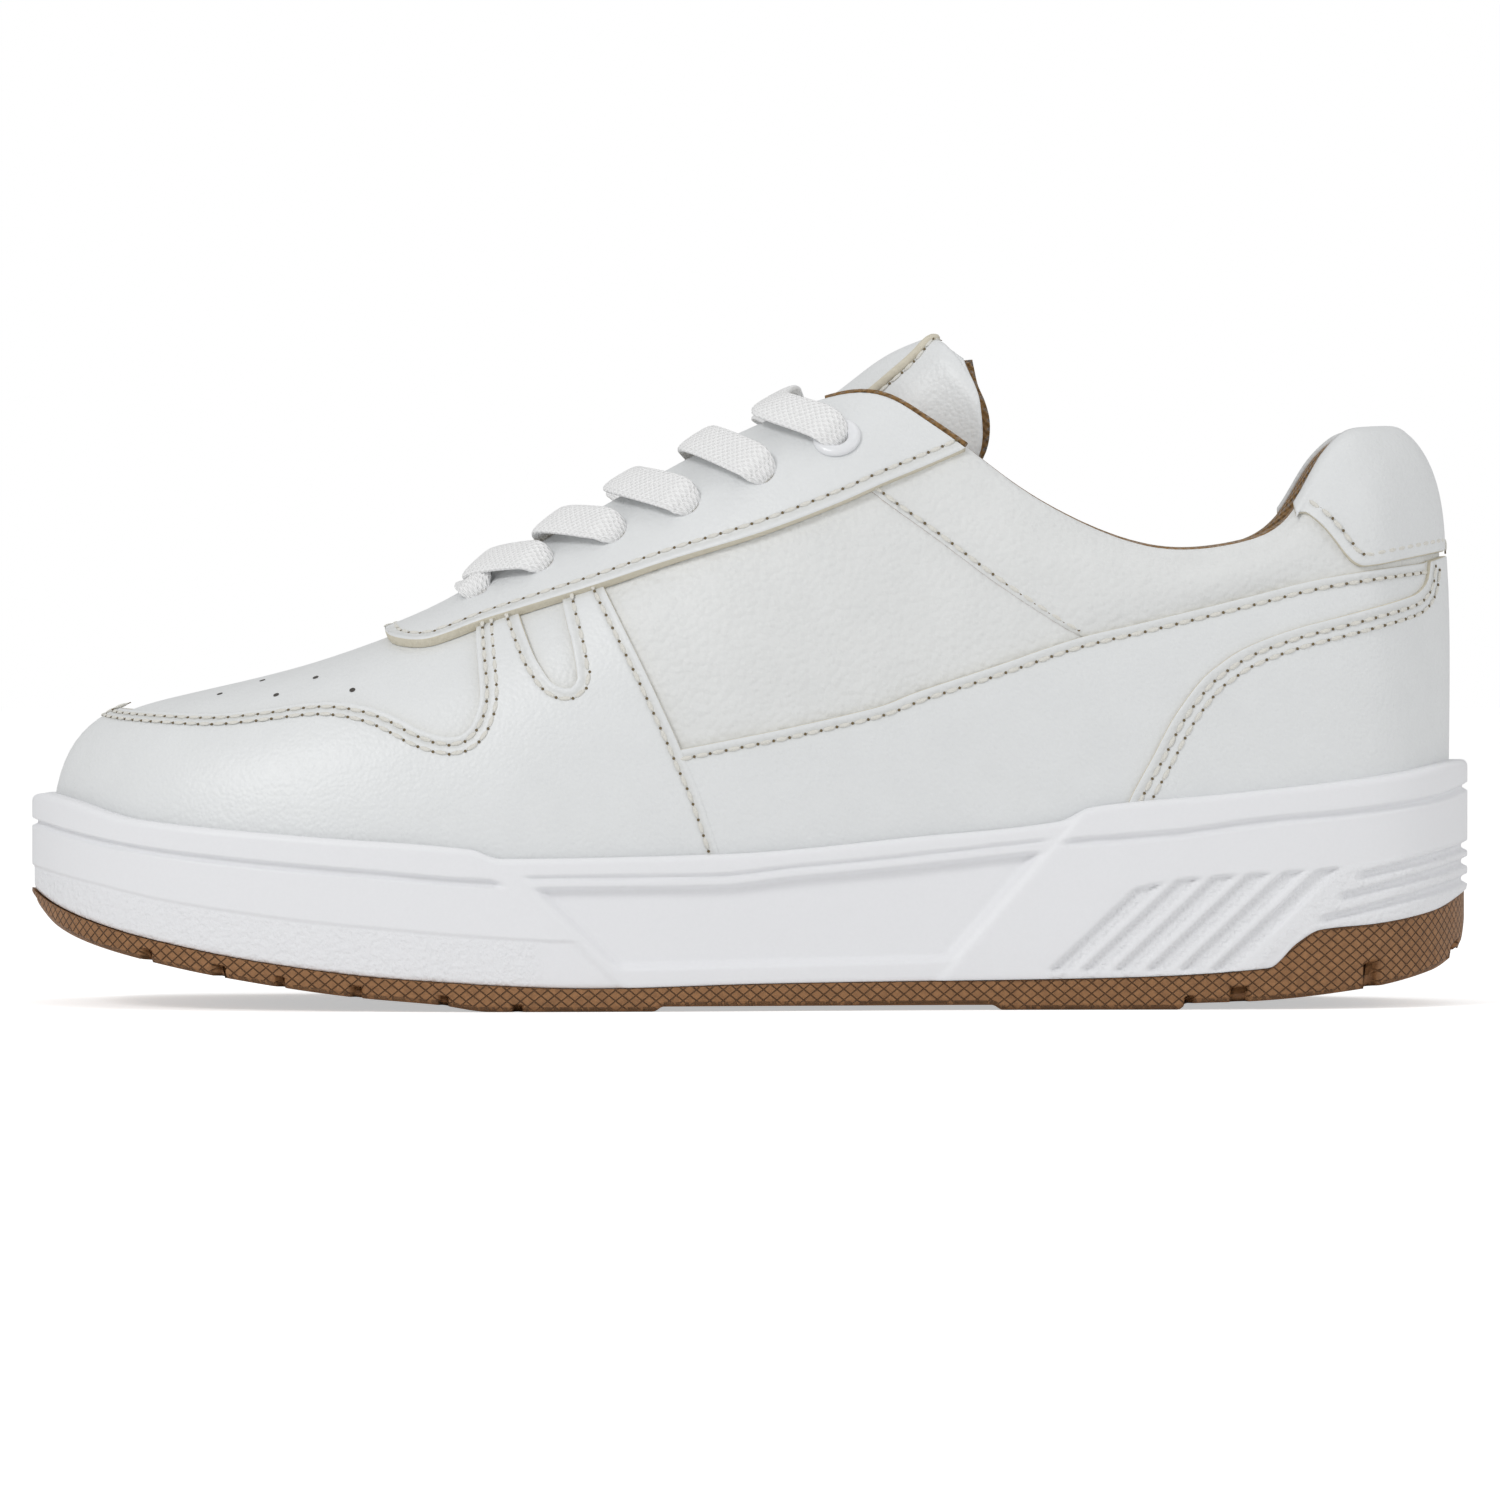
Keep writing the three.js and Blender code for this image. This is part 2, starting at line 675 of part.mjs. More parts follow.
const tongueStations = [...underRows, ...freeRows];

// u runs across from -1 to 1, v up the tongue from 0 to 1
const tongueRails = [0, 1, 2, 3, 4].map(
  (k) => new THREE.CatmullRomCurve3(tongueStations.map((row) => row[k]), false, "centripetal"),
);
function onTongue(u, v) {
  const across = new THREE.CatmullRomCurve3(tongueRails.map((rail) => rail.getPoint(v)));
  return across.getPoint((u + 1) / 2);
}

function offTongue(u, v, depth) {
  const reach = 0.02;
  const side = onTongue(Math.min(u + reach, 1), v).sub(onTongue(Math.max(u - reach, -1), v));
  const up = onTongue(u, Math.min(v + reach, 1)).sub(onTongue(u, Math.max(v - reach, 0)));
  return onTongue(u, v).addScaledVector(up.cross(side).normalize(), depth);
}

function tongueSkin(outside, inside, margin) {
  const [columns, rows] = [8, 12];
  const grid = (depth) =>
    Array.from({ length: columns + 1 }, (_, i) =>
      Array.from({ length: rows + 1 }, (_, j) => {
        const u = (1 - margin) * ((2 * i) / columns - 1);
        return offTongue(u, (j / rows) * (1 - margin / 2), depth);
      }),
    );
  return geometryFrom(skinTriangles(grid(outside), grid(inside)));
}

const tonguePadDepth = -tongueFace - tongueGap;
const tongueLiningDepth = tonguePadDepth - tonguePad - tongueGap;

// ---- the lace ----

const laceOver = outerLayer + laceRadius + 1.3 * laceClearance;
const laceOverRing = laceOver + 1.2;
const laceUnder = -liningDepth - lining - laceRadius - laceClearance;
const bareCrossing = laceRadius + 3;
const topCrossing = bareCrossing + 2 * laceRadius + 0.8;
const [lateral, medial] = [-1, 1];

// height of the tongue's middle at a given x
function tongueCrest(x) {
  let [low, high] = [0, 1];
  for (let i = 0; i < 24; i += 1) {
    const v = (low + high) / 2;
    [low, high] = onTongue(0, v).x < x ? [v, high] : [low, v];
  }
  return onTongue(0, low).z;
}

function throughEyelet(i, side) {
  const [g, t] = places[side][i];
  const over = i === eyelets.length - 1 ? laceOverRing : laceOver;
  return [offLast(g, t, over), offLast(g, t, -leather), offLast(g, t, laceUnder)];
}

// the place on the opening edge that a lace crosses on its way between two eyelets
function overEdge(i, j, side, share, depth) {
  const from = places[side][i][0];
  const to = places[side][j][0];
  return offLast(THREE.MathUtils.lerp(from, to, share), 0.985, depth);
}

// from under one eyelet, out past its edge, across the tongue and over the other edge
function crossing(i, side, height) {
  const out = overEdge(i, i + 1, side, 0.25, laceUnder);
  const over = overEdge(i, i + 1, -side, 0.75, laceOver + laceRadius);
  const x = (out.x + over.x) / 2;
  const middle = new THREE.Vector3(x, (out.y + over.y) / 2, tongueCrest(x) + height);
  return [out, middle, over];
}

function lacePoints() {
  const top = eyelets.length - 1;
  const climb = (startSide, height) => {
    const points = [];
    let side = startSide;
    for (let i = 0; i < top; i += 1) {
      points.push(...crossing(i, side, height));
      side = -side;
      points.push(...throughEyelet(i + 1, side));
    }
    const [g, t] = places[side][top];
    for (const drop of [0.07, 0.15, 0.24, 0.34]) {
      points.push(offLast(g, t - drop, laceUnder - 2));
    }
    return points;
  };
  const bar = (side) => {
    const [g, t] = places[side][0];
    return [...throughEyelet(0, side).reverse(), offLast(g, (1 + t) / 2, laceOver)];
  };
  const [left, right] = [bar(lateral), bar(medial)];
  const x = left.at(-1).x;
  const middle = new THREE.Vector3(x, 0, onLast(ridgeEnd, 1).z + laceOver + 1.5);
  return [
    ...climb(lateral, bareCrossing).reverse(),
    ...left,
    middle,
    ...right.reverse(),
    ...climb(medial, topCrossing),
  ];
}

class LaceRoute extends THREE.Curve {
  constructor(points) {
    super();
    this.points = points;
  }

  getPoint(share) {
    const place = THREE.MathUtils.clamp(share, 0, 1) * (this.points.length - 1);
    const i = Math.min(Math.floor(place), this.points.length - 2);
    return this.points[i].clone().lerp(this.points[i + 1], place - i);
  }

  getPointAt(share) {
    return this.getPoint(share);
  }

  getTangentAt(share) {
    return this.getTangent(share);
  }
}

const route = lacePoints();

function makeLace() {
  const section = new THREE.Shape();
  section.absarc(0, 0, laceRadius, 0, 2 * Math.PI);
  const corners = 8;
  const outlinePoints = section.getSpacedPoints(corners).slice(0, corners);
  const extruded = new THREE.ExtrudeGeometry(new THREE.Shape(outlinePoints), {
    steps: route.length - 1,
    extrudePath: new LaceRoute(route),
  });
  extruded.deleteAttribute("normal");
  extruded.deleteAttribute("uv");
  return mergeVertices(extruded, 1e-4);
}

function makeAglet(end, before) {
  const aim = end.clone().sub(before).normalize();
  const tip = new THREE.CylinderGeometry(agletRadius, agletRadius, agletLength, 10);
  tip.applyQuaternion(new THREE.Quaternion().setFromUnitVectors(new THREE.Vector3(0, 1, 0), aim));
  const at = end.clone().addScaledVector(aim, agletLength / 2 + solidGap);
  tip.translate(at.x, at.y, at.z);
  return tip;
}

function makeRing(side) {
  const [g, t] = places[side].at(-1);
  const seat = outerLayer + solidGap;
  const flangeThick = 0.9;
  const barrel = ringHole - solidGap;
  const profile = [
    [ringBore, -leather], [barrel, -leather], [barrel, seat], [ringFlange, seat],
    [ringFlange - 0.5, seat + flangeThick], [ringBore + 0.5, seat + flangeThick],
    [ringBore, seat], [ringBore, -leather],
  ].map(([radius, height]) => new THREE.Vector2(radius, height));
  const ring = new THREE.LatheGeometry(profile, 12);
  ring.applyQuaternion(
    new THREE.Quaternion().setFromUnitVectors(new THREE.Vector3(0, 1, 0), lastNormal(g, t)),
  );
  const at = onLast(g, t);
  ring.translate(at.x, at.y, at.z);
  return ring;
}

// ---- finishes ----

const finish = (color, roughness, metalness = 0) => ({ color, roughness, metalness });
const whiteLeather = finish("#ecedeb", 0.5);
const grainedLeather = finish("#e9eae8", 0.55);
const gum = finish("#8a5a33", 0.6);
const white = finish("#f4f5f6", 0.45);
const tan = finish("#8f6b39", 0.9);
const foam = finish("#e6dfca", 0.95);
const board = finish("#d8cfb6", 0.9);
const stiff = finish("#cfc8b8", 0.8);
const woven = finish("#f5f5f3", 0.85);
const painted = finish("#eceef0", 0.3, 0.4);
const clear = finish("#e8e8e6", 0.2);

const group = new THREE.Group();

function add(name, geometry, look) {
  const mesh = new THREE.Mesh(geometry, new THREE.MeshStandardMaterial(look));
  mesh.name = name;
  group.add(mesh);
}

add("outsole", makeOutsole(), gum);
add("midsole_cup", makeMidsole(), white);
add("midsole_core", plate(wallThick + cupClearance, (x) => floorHeight(x) + solidGap, coreHeight), foam);
add("strobel_board", plate(boardInset, (x) => coreHeight(x) + solidGap, boardTop), board);
add("sockliner", plate(sockInset, (x) => boardTop(x) + solidGap, sockTop), tan);

const vamp = panel({ from: -vampEnd, to: vampEnd, ...base, low: none, high: full, rows: 9 });
add("vamp", cut(vamp, allBorers), whiteLeather);
add("toe_guard", makeGuard(), whiteLeather);
add("eyestay", makeEyestay(), whiteLeather);
add("heel_overlay", panel({
  ...heelWrap(heelStart), ...overlay, low: none, high: onLine(heelTop, 0), rows: 6,
}), whiteLeather);
add("heel_tab", panel({
  ...heelWrap(13.15), ...overlay, low: onLine(tabLow, 0), high: full, rows: 5,
}), whiteLeather);

const vampLining = panel({
  from: -vampEnd, to: vampEnd, ...liningSkin, low: none, high: full, rows: 8,
});
add("vamp_lining", cut(vampLining, allBorers), tan);
add("heel_lining", panel({ ...heelWrap(heelJoin), ...liningSkin, low: none, high: full, rows: 8 }), tan);
add("toe_puff", panel({
  from: -3.4, to: 3.4, ...hidden, low: () => 0.04, high: () => 0.8, rows: 7,
}), stiff);
add("heel_counter", panel({
  ...heelWrap(12.8), ...hidden, low: () => 0.03, high: () => 0.56, rows: 4,
}), stiff);
add("collar_foam", makeCollarFoam(), foam);

for (const [side, name] of [[lateral, "lateral"], [medial, "medial"]]) {
  const quarter = panel({
    ...mirror(side, quarterStart, heelSeam), ...base, low: none, high: full, rows: 8,
  });
  const quarterLining = panel({
    ...mirror(side, quarterStart, heelJoin - 0.1), ...liningSkin, plain: false,
    low: none, high: full, rows: 8,
  });
  const backing = panel({
    ...mirror(side, 6.6, 9.7), ...backed, low: onLine(eyestayLow, 1), high: () => 0.985, rows: 4,
  });
  add(`quarter_${name}`, cut(quarter, borers(side)), grainedLeather);
  add(`side_overlay_${name}`, makeSideOverlay(side), whiteLeather);
  add(`quarter_lining_${name}`, cut(quarterLining, borers(side)), tan);
  add(`eyestay_backing_${name}`, cut(backing, borers(side)), stiff);
  add(`eyelet_ring_${name}`, makeRing(side), painted);
}

add("tongue_face", tongueSkin(0, -tongueFace, 0), whiteLeather);
add("tongue_foam", tongueSkin(tonguePadDepth, tonguePadDepth - tonguePad, 0.06), foam);
add("tongue_lining", tongueSkin(tongueLiningDepth, tongueLiningDepth - tongueLining, 0), tan);

add("lace", makeLace(), woven);
add("aglet_medial", makeAglet(route[0], route[1]), clear);
add("aglet_lateral", makeAglet(route.at(-1), route.at(-2)), clear);

export default group;
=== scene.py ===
import math

import bmesh
import bpy
import numpy as np
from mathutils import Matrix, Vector
from mathutils.geometry import delaunay_2d_cdt
from mathutils.kdtree import KDTree


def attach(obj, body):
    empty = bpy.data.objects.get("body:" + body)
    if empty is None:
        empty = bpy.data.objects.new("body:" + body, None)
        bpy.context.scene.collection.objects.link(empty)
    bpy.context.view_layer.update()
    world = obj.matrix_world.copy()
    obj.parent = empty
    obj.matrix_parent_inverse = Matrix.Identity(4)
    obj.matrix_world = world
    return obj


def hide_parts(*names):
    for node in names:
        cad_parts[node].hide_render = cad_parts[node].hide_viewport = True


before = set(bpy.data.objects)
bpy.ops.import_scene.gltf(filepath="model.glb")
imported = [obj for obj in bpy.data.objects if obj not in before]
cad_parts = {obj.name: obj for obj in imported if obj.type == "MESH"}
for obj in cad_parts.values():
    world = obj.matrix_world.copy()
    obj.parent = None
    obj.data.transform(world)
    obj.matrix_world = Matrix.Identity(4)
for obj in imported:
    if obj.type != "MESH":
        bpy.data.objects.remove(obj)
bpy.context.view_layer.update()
mm = 0.001

# ---- the last: every piece of the upper lies on it, at its own depth ----
# a place is (g, t): g goes round the shoe, 0 at the toe tip and 16 at the back of the heel,
# negative on the outer side; t goes up a rib, 0 at the sole and 1 at the opening. Lengths in mm.

lastShape = {
    "length": 300, "width": 108, "inset": 5.45, "round": 0.2,
    "plan": [  # share of half the length, outer and inner share of half the width
        (-1.0, 0.09, 0.09), (-0.965, -0.25, 0.45), (-0.873, -0.62, 0.74), (-0.72, -0.85, 0.925),
        (-0.533, -0.965, 1.0), (-0.413, -0.995, 0.98), (-0.32, -1.0, 0.925),
        (-0.167, -0.972, 0.815), (0.0, -0.907, 0.722), (0.16, -0.843, 0.685),
        (0.28, -0.796, 0.685), (0.413, -0.768, 0.704), (0.58, -0.75, 0.731),
        (0.733, -0.713, 0.722), (0.85, -0.625, 0.63), (0.945, -0.41, 0.415), (1.0, 0.0, 0.0)],
    "ribs": [  # opening edge (x, half gap, z), direction of arrival, rise, run, shift of the ridge
        ((-113, 0, 65.2), (1, 0, 0.2), 27, 24, 3), ((-110, 0, 66), (0.85, 0.5, 0.18), 27, 24, 3),
        ((-104, 0, 67.4), (0.5, 0.85, 0.12), 30, 26, 2.5),
        ((-92, 0, 70.5), (0.15, 1, 0.05), 33, 32, 1.5), ((-75, 0, 76.3), (0, 1, 0), 38, 34, 0),
        ((-62, 0, 82), (0, 1, 0), 40, 34, 0), ((-50, 8.5, 89.5), (0, 0.95, 0.3), 42, 30, 0),
        ((-27, 12, 103), (0, 0.93, 0.37), 46, 30, 0), ((0, 16, 117.5), (0, 0.9, 0.42), 50, 32, 0),
        ((24, 19.5, 126.3), (0, 0.75, 0.66), 50, 34, 0), ((39, 25, 119), (0, 0.55, 0.85), 46, 34, 0),
        ((60, 31, 104.5), (0, 0.35, 0.95), 40, 30, 0), ((87, 32.5, 94.6), (0, 0.25, 0.97), 32, 24, 0),
        ((108, 29, 98.5), (-0.05, 0.3, 0.95), 34, 24, 0),
        ((118.5, 22, 114), (-0.3, 0.5, 0.75), 42, 24, 0),
        ((125.5, 14, 119.2), (-0.6, 0.35, 0.6), 46, 18, 0), ((134, 0, 119.8), (-0.8, 0, 0.5), 50, 16, 0)],
    "coreTop": [(-150, 31), (-130, 26), (-100, 21), (-60, 18), (-20, 18.5), (20, 22), (60, 27),
                (100, 30), (150, 31)],
}


def curveThrough(points):  # a smooth line that never overshoots its points
    xs, ys = np.array(points, float).T
    secants = np.diff(ys) / np.diff(xs)
    a, b = secants[:-1], secants[1:]
    total = np.where(a + b == 0, 1, a + b)
    inner = np.where(a * b <= 0, 0, 2 * a * b / total)
    slopes = np.concatenate([[secants[0]], inner, [secants[-1]]])

    def at(x):
        x = np.asarray(x, float)
        i = np.clip(np.searchsorted(xs, x, side="right") - 1, 0, len(xs) - 2)
        step = xs[i + 1] - xs[i]
        u = np.clip((x - xs[i]) / step, 0, 1)
        r = 1 - u
        start = ys[i] * (1 + 2 * u) * r * r + slopes[i] * step * u * r * r
        return start + ys[i + 1] * u * u * (3 - 2 * u) - slopes[i + 1] * step * u * u * r

    return at


def roundShoe(inner, outer):  # a smooth closed run of numbers, one for each station
    values = [inner(k) for k in range(17)] + [outer(k) for k in range(15, 0, -1)]
    run = curveThrough([(i, values[i % 32]) for i in range(-4, 37)])
    perStation = 100
    fine = run(np.arange(32 * perStation) / perStation)
    reach = int(3 * lastShape["round"] * perStation)
    weights = np.exp(-0.5 * (np.arange(-reach, reach + 1) / (lastShape["round"] * perStation)) ** 2)
    soft = sum(w * np.roll(fine, s) for w, s in zip(weights, range(-reach, reach + 1)))
    table = np.append(soft, soft[0]) / weights.sum()
    index = np.arange(32 * perStation + 1)
    return lambda g: np.interp(np.mod(g, 32) * perStation, index, table)


def ribRun(pick):
    ribs = lastShape["ribs"]
    return roundShoe(lambda k: pick(ribs[k], 1), lambda k: pick(ribs[k], -1))


halfLong, halfWide = lastShape["length"] / 2, lastShape["width"] / 2
plan = lastShape["plan"]
planX = roundShoe(lambda k: plan[k][0] * halfLong, lambda k: plan[k][0] * halfLong)
planY = roundShoe(lambda k: plan[k][2] * halfWide, lambda k: plan[k][1] * halfWide)
coreTop = curveThrough(lastShape["coreTop"])
edgeX = ribRun(lambda r, side: r[0][0])
edgeY = ribRun(lambda r, side: side * r[0][1] + r[4])
edgeZ = ribRun(lambda r, side: r[0][2])
arriveX = ribRun(lambda r, side: r[1][0])
arriveY = ribRun(lambda r, side: -side * r[1][1])
arriveZ = ribRun(lambda r, side: r[1][2])
riseAt = ribRun(lambda r, side: r[2])
runAt = ribRun(lambda r, side: r[3])


def smoothStep(x, low, high):
    u = np.clip((np.asarray(x, float) - low) / (high - low), 0, 1)
    return u * u * (3 - 2 * u)


def unit(v):
    return v / np.maximum(np.linalg.norm(v, axis=-1, keepdims=True), 1e-9)


def outline(g, inset):
    reach = 0.05
    dx = planX(g + reach) - planX(g - reach)
    dy = planY(g + reach) - planY(g - reach)
    size = np.hypot(dx, dy)
    return planX(g) + dy / size * inset, planY(g) - dx / size * inset


def onLast(g, t):
    g, t = np.broadcast_arrays(np.asarray(g, float), np.asarray(t, float))
    footX, footY = outline(g, lastShape["inset"])
    footZ = coreTop(footX) + 0.6
    edge = np.stack([edgeX(g), edgeY(g), edgeZ(g)], -1)
    arrive = unit(np.stack([arriveX(g), arriveY(g), arriveZ(g)], -1))
    foot = np.stack([footX, footY, footZ], -1)
    knee = np.stack([footX, footY, footZ + riseAt(g)], -1)
    late = edge - arrive * runAt(g)[..., None]
    t = t[..., None]
    s = 1 - t
    return foot * s ** 3 + 3 * knee * s * s * t + 3 * late * s * t * t + edge * t ** 3


def slopeNormal(g, t):
    low, high = np.clip(t - 0.012, 0, 1), np.clip(t + 0.012, 0, 1)
    up = onLast(g, high) - onLast(g, low)
    along = onLast(g + 0.05, t) - onLast(g - 0.05, t)
    return unit(np.cross(up, along))


def lastNormal(g, t):
    g, t = np.broadcast_arrays(np.asarray(g, float), np.asarray(t, float))
    turn = np.where(g > 16, g - 32, g)
    t = np.clip(t, 0, 0.985)
    normal = slopeNormal(turn, t)
    share = 0.5 * smoothStep(t, 0.955, 0.985) * (1 - smoothStep(np.abs(turn), 4.7, 5.3))
    return unit(normal * (1 - share)[..., None] + slopeNormal(-turn, t) * share[..., None])


def offLast(g, t, depth):
    return onLast(g, t) + lastNormal(g, t) * np.asarray(depth, float)[..., None]


def heightOn(g, line):  # how far up a rib the last meets a line drawn in the side view
    g = np.asarray(g, float)
    low, high = np.zeros_like(g), np.ones_like(g)
    for _ in range(24):
        t = (low + high) / 2
        p = onLast(g, t)
        below = p[..., 2] < line(p[..., 0])
        low, high = np.where(below, t, low), np.where(below, high, t)
    return (low + high) / 2


def locate(points, side):  # places on one side of the last, from (x, z) in the side view
    x, z = np.array(points, float).T
    low, high = np.zeros_like(x), np.full_like(x, 16.0)
    for _ in range(24):
        g = (low + high) / 2
        t = heightOn(side * g, lambda _: z)
        ahead = onLast(side * g, t)[..., 0] < x
        low, high = np.where(ahead, g, low), np.where(ahead, high, g)
    g = side * (low + high) / 2
    return np.stack([g, heightOn(g, lambda _: z)], -1)


def spotOn(place, depth):  # one point off the last, and the way out there
    g, t = np.array([place[0]]), np.array([place[1]])
    return offLast(g, t, np.array([depth]))[0], lastNormal(g, t)[0]


def catmull(a, b, c, d, u):  # a smooth step from b to c
    return 0.5 * (2 * b + (c - a) * u + (2 * a - 5 * b + 4 * c - d) * u * u
                  + (3 * b - a - 3 * c + d) * u ** 3)


def softLine(points, pitch):  # an even, rounded run through points
    p = np.array(points, float)
    p = np.vstack([2 * p[0] - p[1], p, 2 * p[-1] - p[-2]])
    fine = [catmull(*p[i - 1:i + 3], u) for i in range(1, len(p) - 2) for u in np.arange(0, 1, 0.05)]
    return evenRun(np.array(fine + [p[-2]]), pitch)


def evenRun(points, pitch):
    points = np.asarray(points, float)
    steps = np.linalg.norm(np.diff(points, axis=0), axis=1)
    keep = np.concatenate([[True], steps > 1e-6])
    points = points[keep]
    distance = np.concatenate([[0], np.cumsum(np.linalg.norm(np.diff(points, axis=0), axis=1))])
    count = max(int(round(distance[-1] / pitch)), 1)
    at = np.linspace(0, distance[-1], count + 1)
    return np.stack([np.interp(at, distance, points[:, k]) for k in range(points.shape[1])], -1)


# ---- meshes ----

def makeObject(name, verts, faces, materials, faceMaterial=None, smooth=True):
    mesh = bpy.data.meshes.new(name)
    mesh.from_pydata([tuple(v) for v in np.asarray(verts) * mm], [], [tuple(f) for f in faces])
    for material in materials:
        mesh.materials.append(material)
    if faceMaterial is not None:
        mesh.polygons.foreach_set("material_index", np.asarray(faceMaterial, dtype=np.int32))
    mesh.polygons.foreach_set("use_smooth", [smooth] * len(mesh.polygons))
    mesh.update()
    obj = bpy.data.objects.new(name, mesh)
    bpy.context.scene.collection.objects.link(obj)
    return obj


def putAttribute(obj, name, values):
    layer = obj.data.attributes.new(name, "FLOAT", "POINT")
    layer.data.foreach_set("value", np.asarray(values, dtype=np.float32))


def gridFaces(rows, columns, closeRows=False, closeColumns=False):
    faces = []
    for i in range(rows if closeRows else rows - 1):
        for j in range(columns if closeColumns else columns - 1):
            a = i * columns + j
            b = i * columns + (j + 1) % columns
            c = ((i + 1) % rows) * columns + (j + 1) % columns
            d = ((i + 1) % rows) * columns + j
            faces.append((a, b, c, d))
    return faces


def shifted(faces, by):
    return [tuple(by + i for i in f) for f in faces]


def endCaps(rows, columns):  # the two faces that close a strip at its ends
    return [tuple(i * columns + column for i in range(rows)) for column in (0, columns - 1)]


def faceOutwards(obj, merge=1e-6, thin=0):
    bm = bmesh.new()
    bm.from_mesh(obj.data)
    if merge:
        bmesh.ops.remove_doubles(bm, verts=bm.verts, dist=merge)
    if thin:
        bmesh.ops.dissolve_degenerate(bm, edges=bm.edges, dist=thin)
    bmesh.ops.recalc_face_normals(bm, faces=bm.faces)
    bm.to_mesh(obj.data)
    bm.free()
    obj.data.update()


def finishPiece(obj, body, slotName, *nodes):
    if nodes:
        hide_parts(*nodes)
    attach(obj, body)


def nearTree(points):
    tree = KDTree(len(points))
    for k, p in enumerate(points):
        tree.insert(p, k)
    tree.balance()
    return tree


def insideLoop(points, loop):
    x, y = points[:, 0], points[:, 1]
    inside = np.zeros(len(points), bool)
    ax, ay = loop[:, 0], loop[:, 1]
    bx, by = np.roll(ax, -1), np.roll(ay, -1)
    for k in range(len(loop)):
        if ay[k] == by[k]:
            continue
        crosses = (ay[k] > y) != (by[k] > y)
        inside ^= crosses & (x < (bx[k] - ax[k]) * (y - ay[k]) / (by[k] - ay[k]) + ax[k])
    return inside


def insideShape(points, loops):  # inside the first loop and outside its holes
    inside = insideLoop(points, loops[0])
    for hole in loops[1:]:
        inside &= ~insideLoop(points, hole)
    return inside


flatG = np.linspace(-24, 24, 4801)
flatStep = np.linalg.norm(np.diff(onLast(flatG, 0.4), axis=0), axis=1)
flatU = np.concatenate([[0], np.cumsum(flatStep)])
flatHeight = 88


def toFlat(places):
    u = np.interp(places[:, 0], flatG, flatU)
    return np.stack([u, places[:, 1] * flatHeight], -1)


def fromFlat(flat):
    return np.stack([np.interp(flat[:, 0], flatU, flatG), flat[:, 1] / flatHeight], -1)


def cutShape(loops, spacing):  # triangles of a flat shape: its outer loop, then its holes
    flats = [toFlat(np.asarray(loop, float)) for loop in loops]
    low, high = flats[0].min(0), flats[0].max(0)
    rows = np.arange(low[1], high[1], spacing * 0.87)
    grid = np.array([(x + (k % 2) * spacing / 2, y) for k, y in enumerate(rows)
                     for x in np.arange(low[0], high[0], spacing)])
    near = nearTree(np.pad(np.vstack(flats), ((0, 0), (0, 1))))

    def gapOf(points):
        return np.array([near.find((*p, 0))[2] for p in points])

    free = [grid[insideShape(grid, flats) & (gapOf(grid) > 2.0)]]
    for loop in flats:  # rows that follow the edge closely
        ahead = np.roll(loop, -1, axis=0) - np.roll(loop, 1, axis=0)
        across = unit(np.stack([-ahead[:, 1], ahead[:, 0]], -1))
        for step, every in ((0.5, 1), (1.3, 2)):
            for sign in (1, -1):
                row = (loop + across * step * sign)[::every]
                free.append(row[insideShape(row, flats) & (gapOf(row) > step * 0.8)])
    verts = np.vstack(flats + free)
    edges, start = [], 0
    for loop in flats:
        edges += [(start + k, start + (k + 1) % len(loop)) for k in range(len(loop))]
        start += len(loop)
    result = delaunay_2d_cdt([Vector(v) for v in verts], edges, [], 0, 1e-5, False)
    flat = np.array([tuple(v) for v in result[0]])
    tris = np.array([f for f in result[2] if len(f) == 3])
    return fromFlat(flat), tris[insideShape(flat[tris].mean(1), flats)]


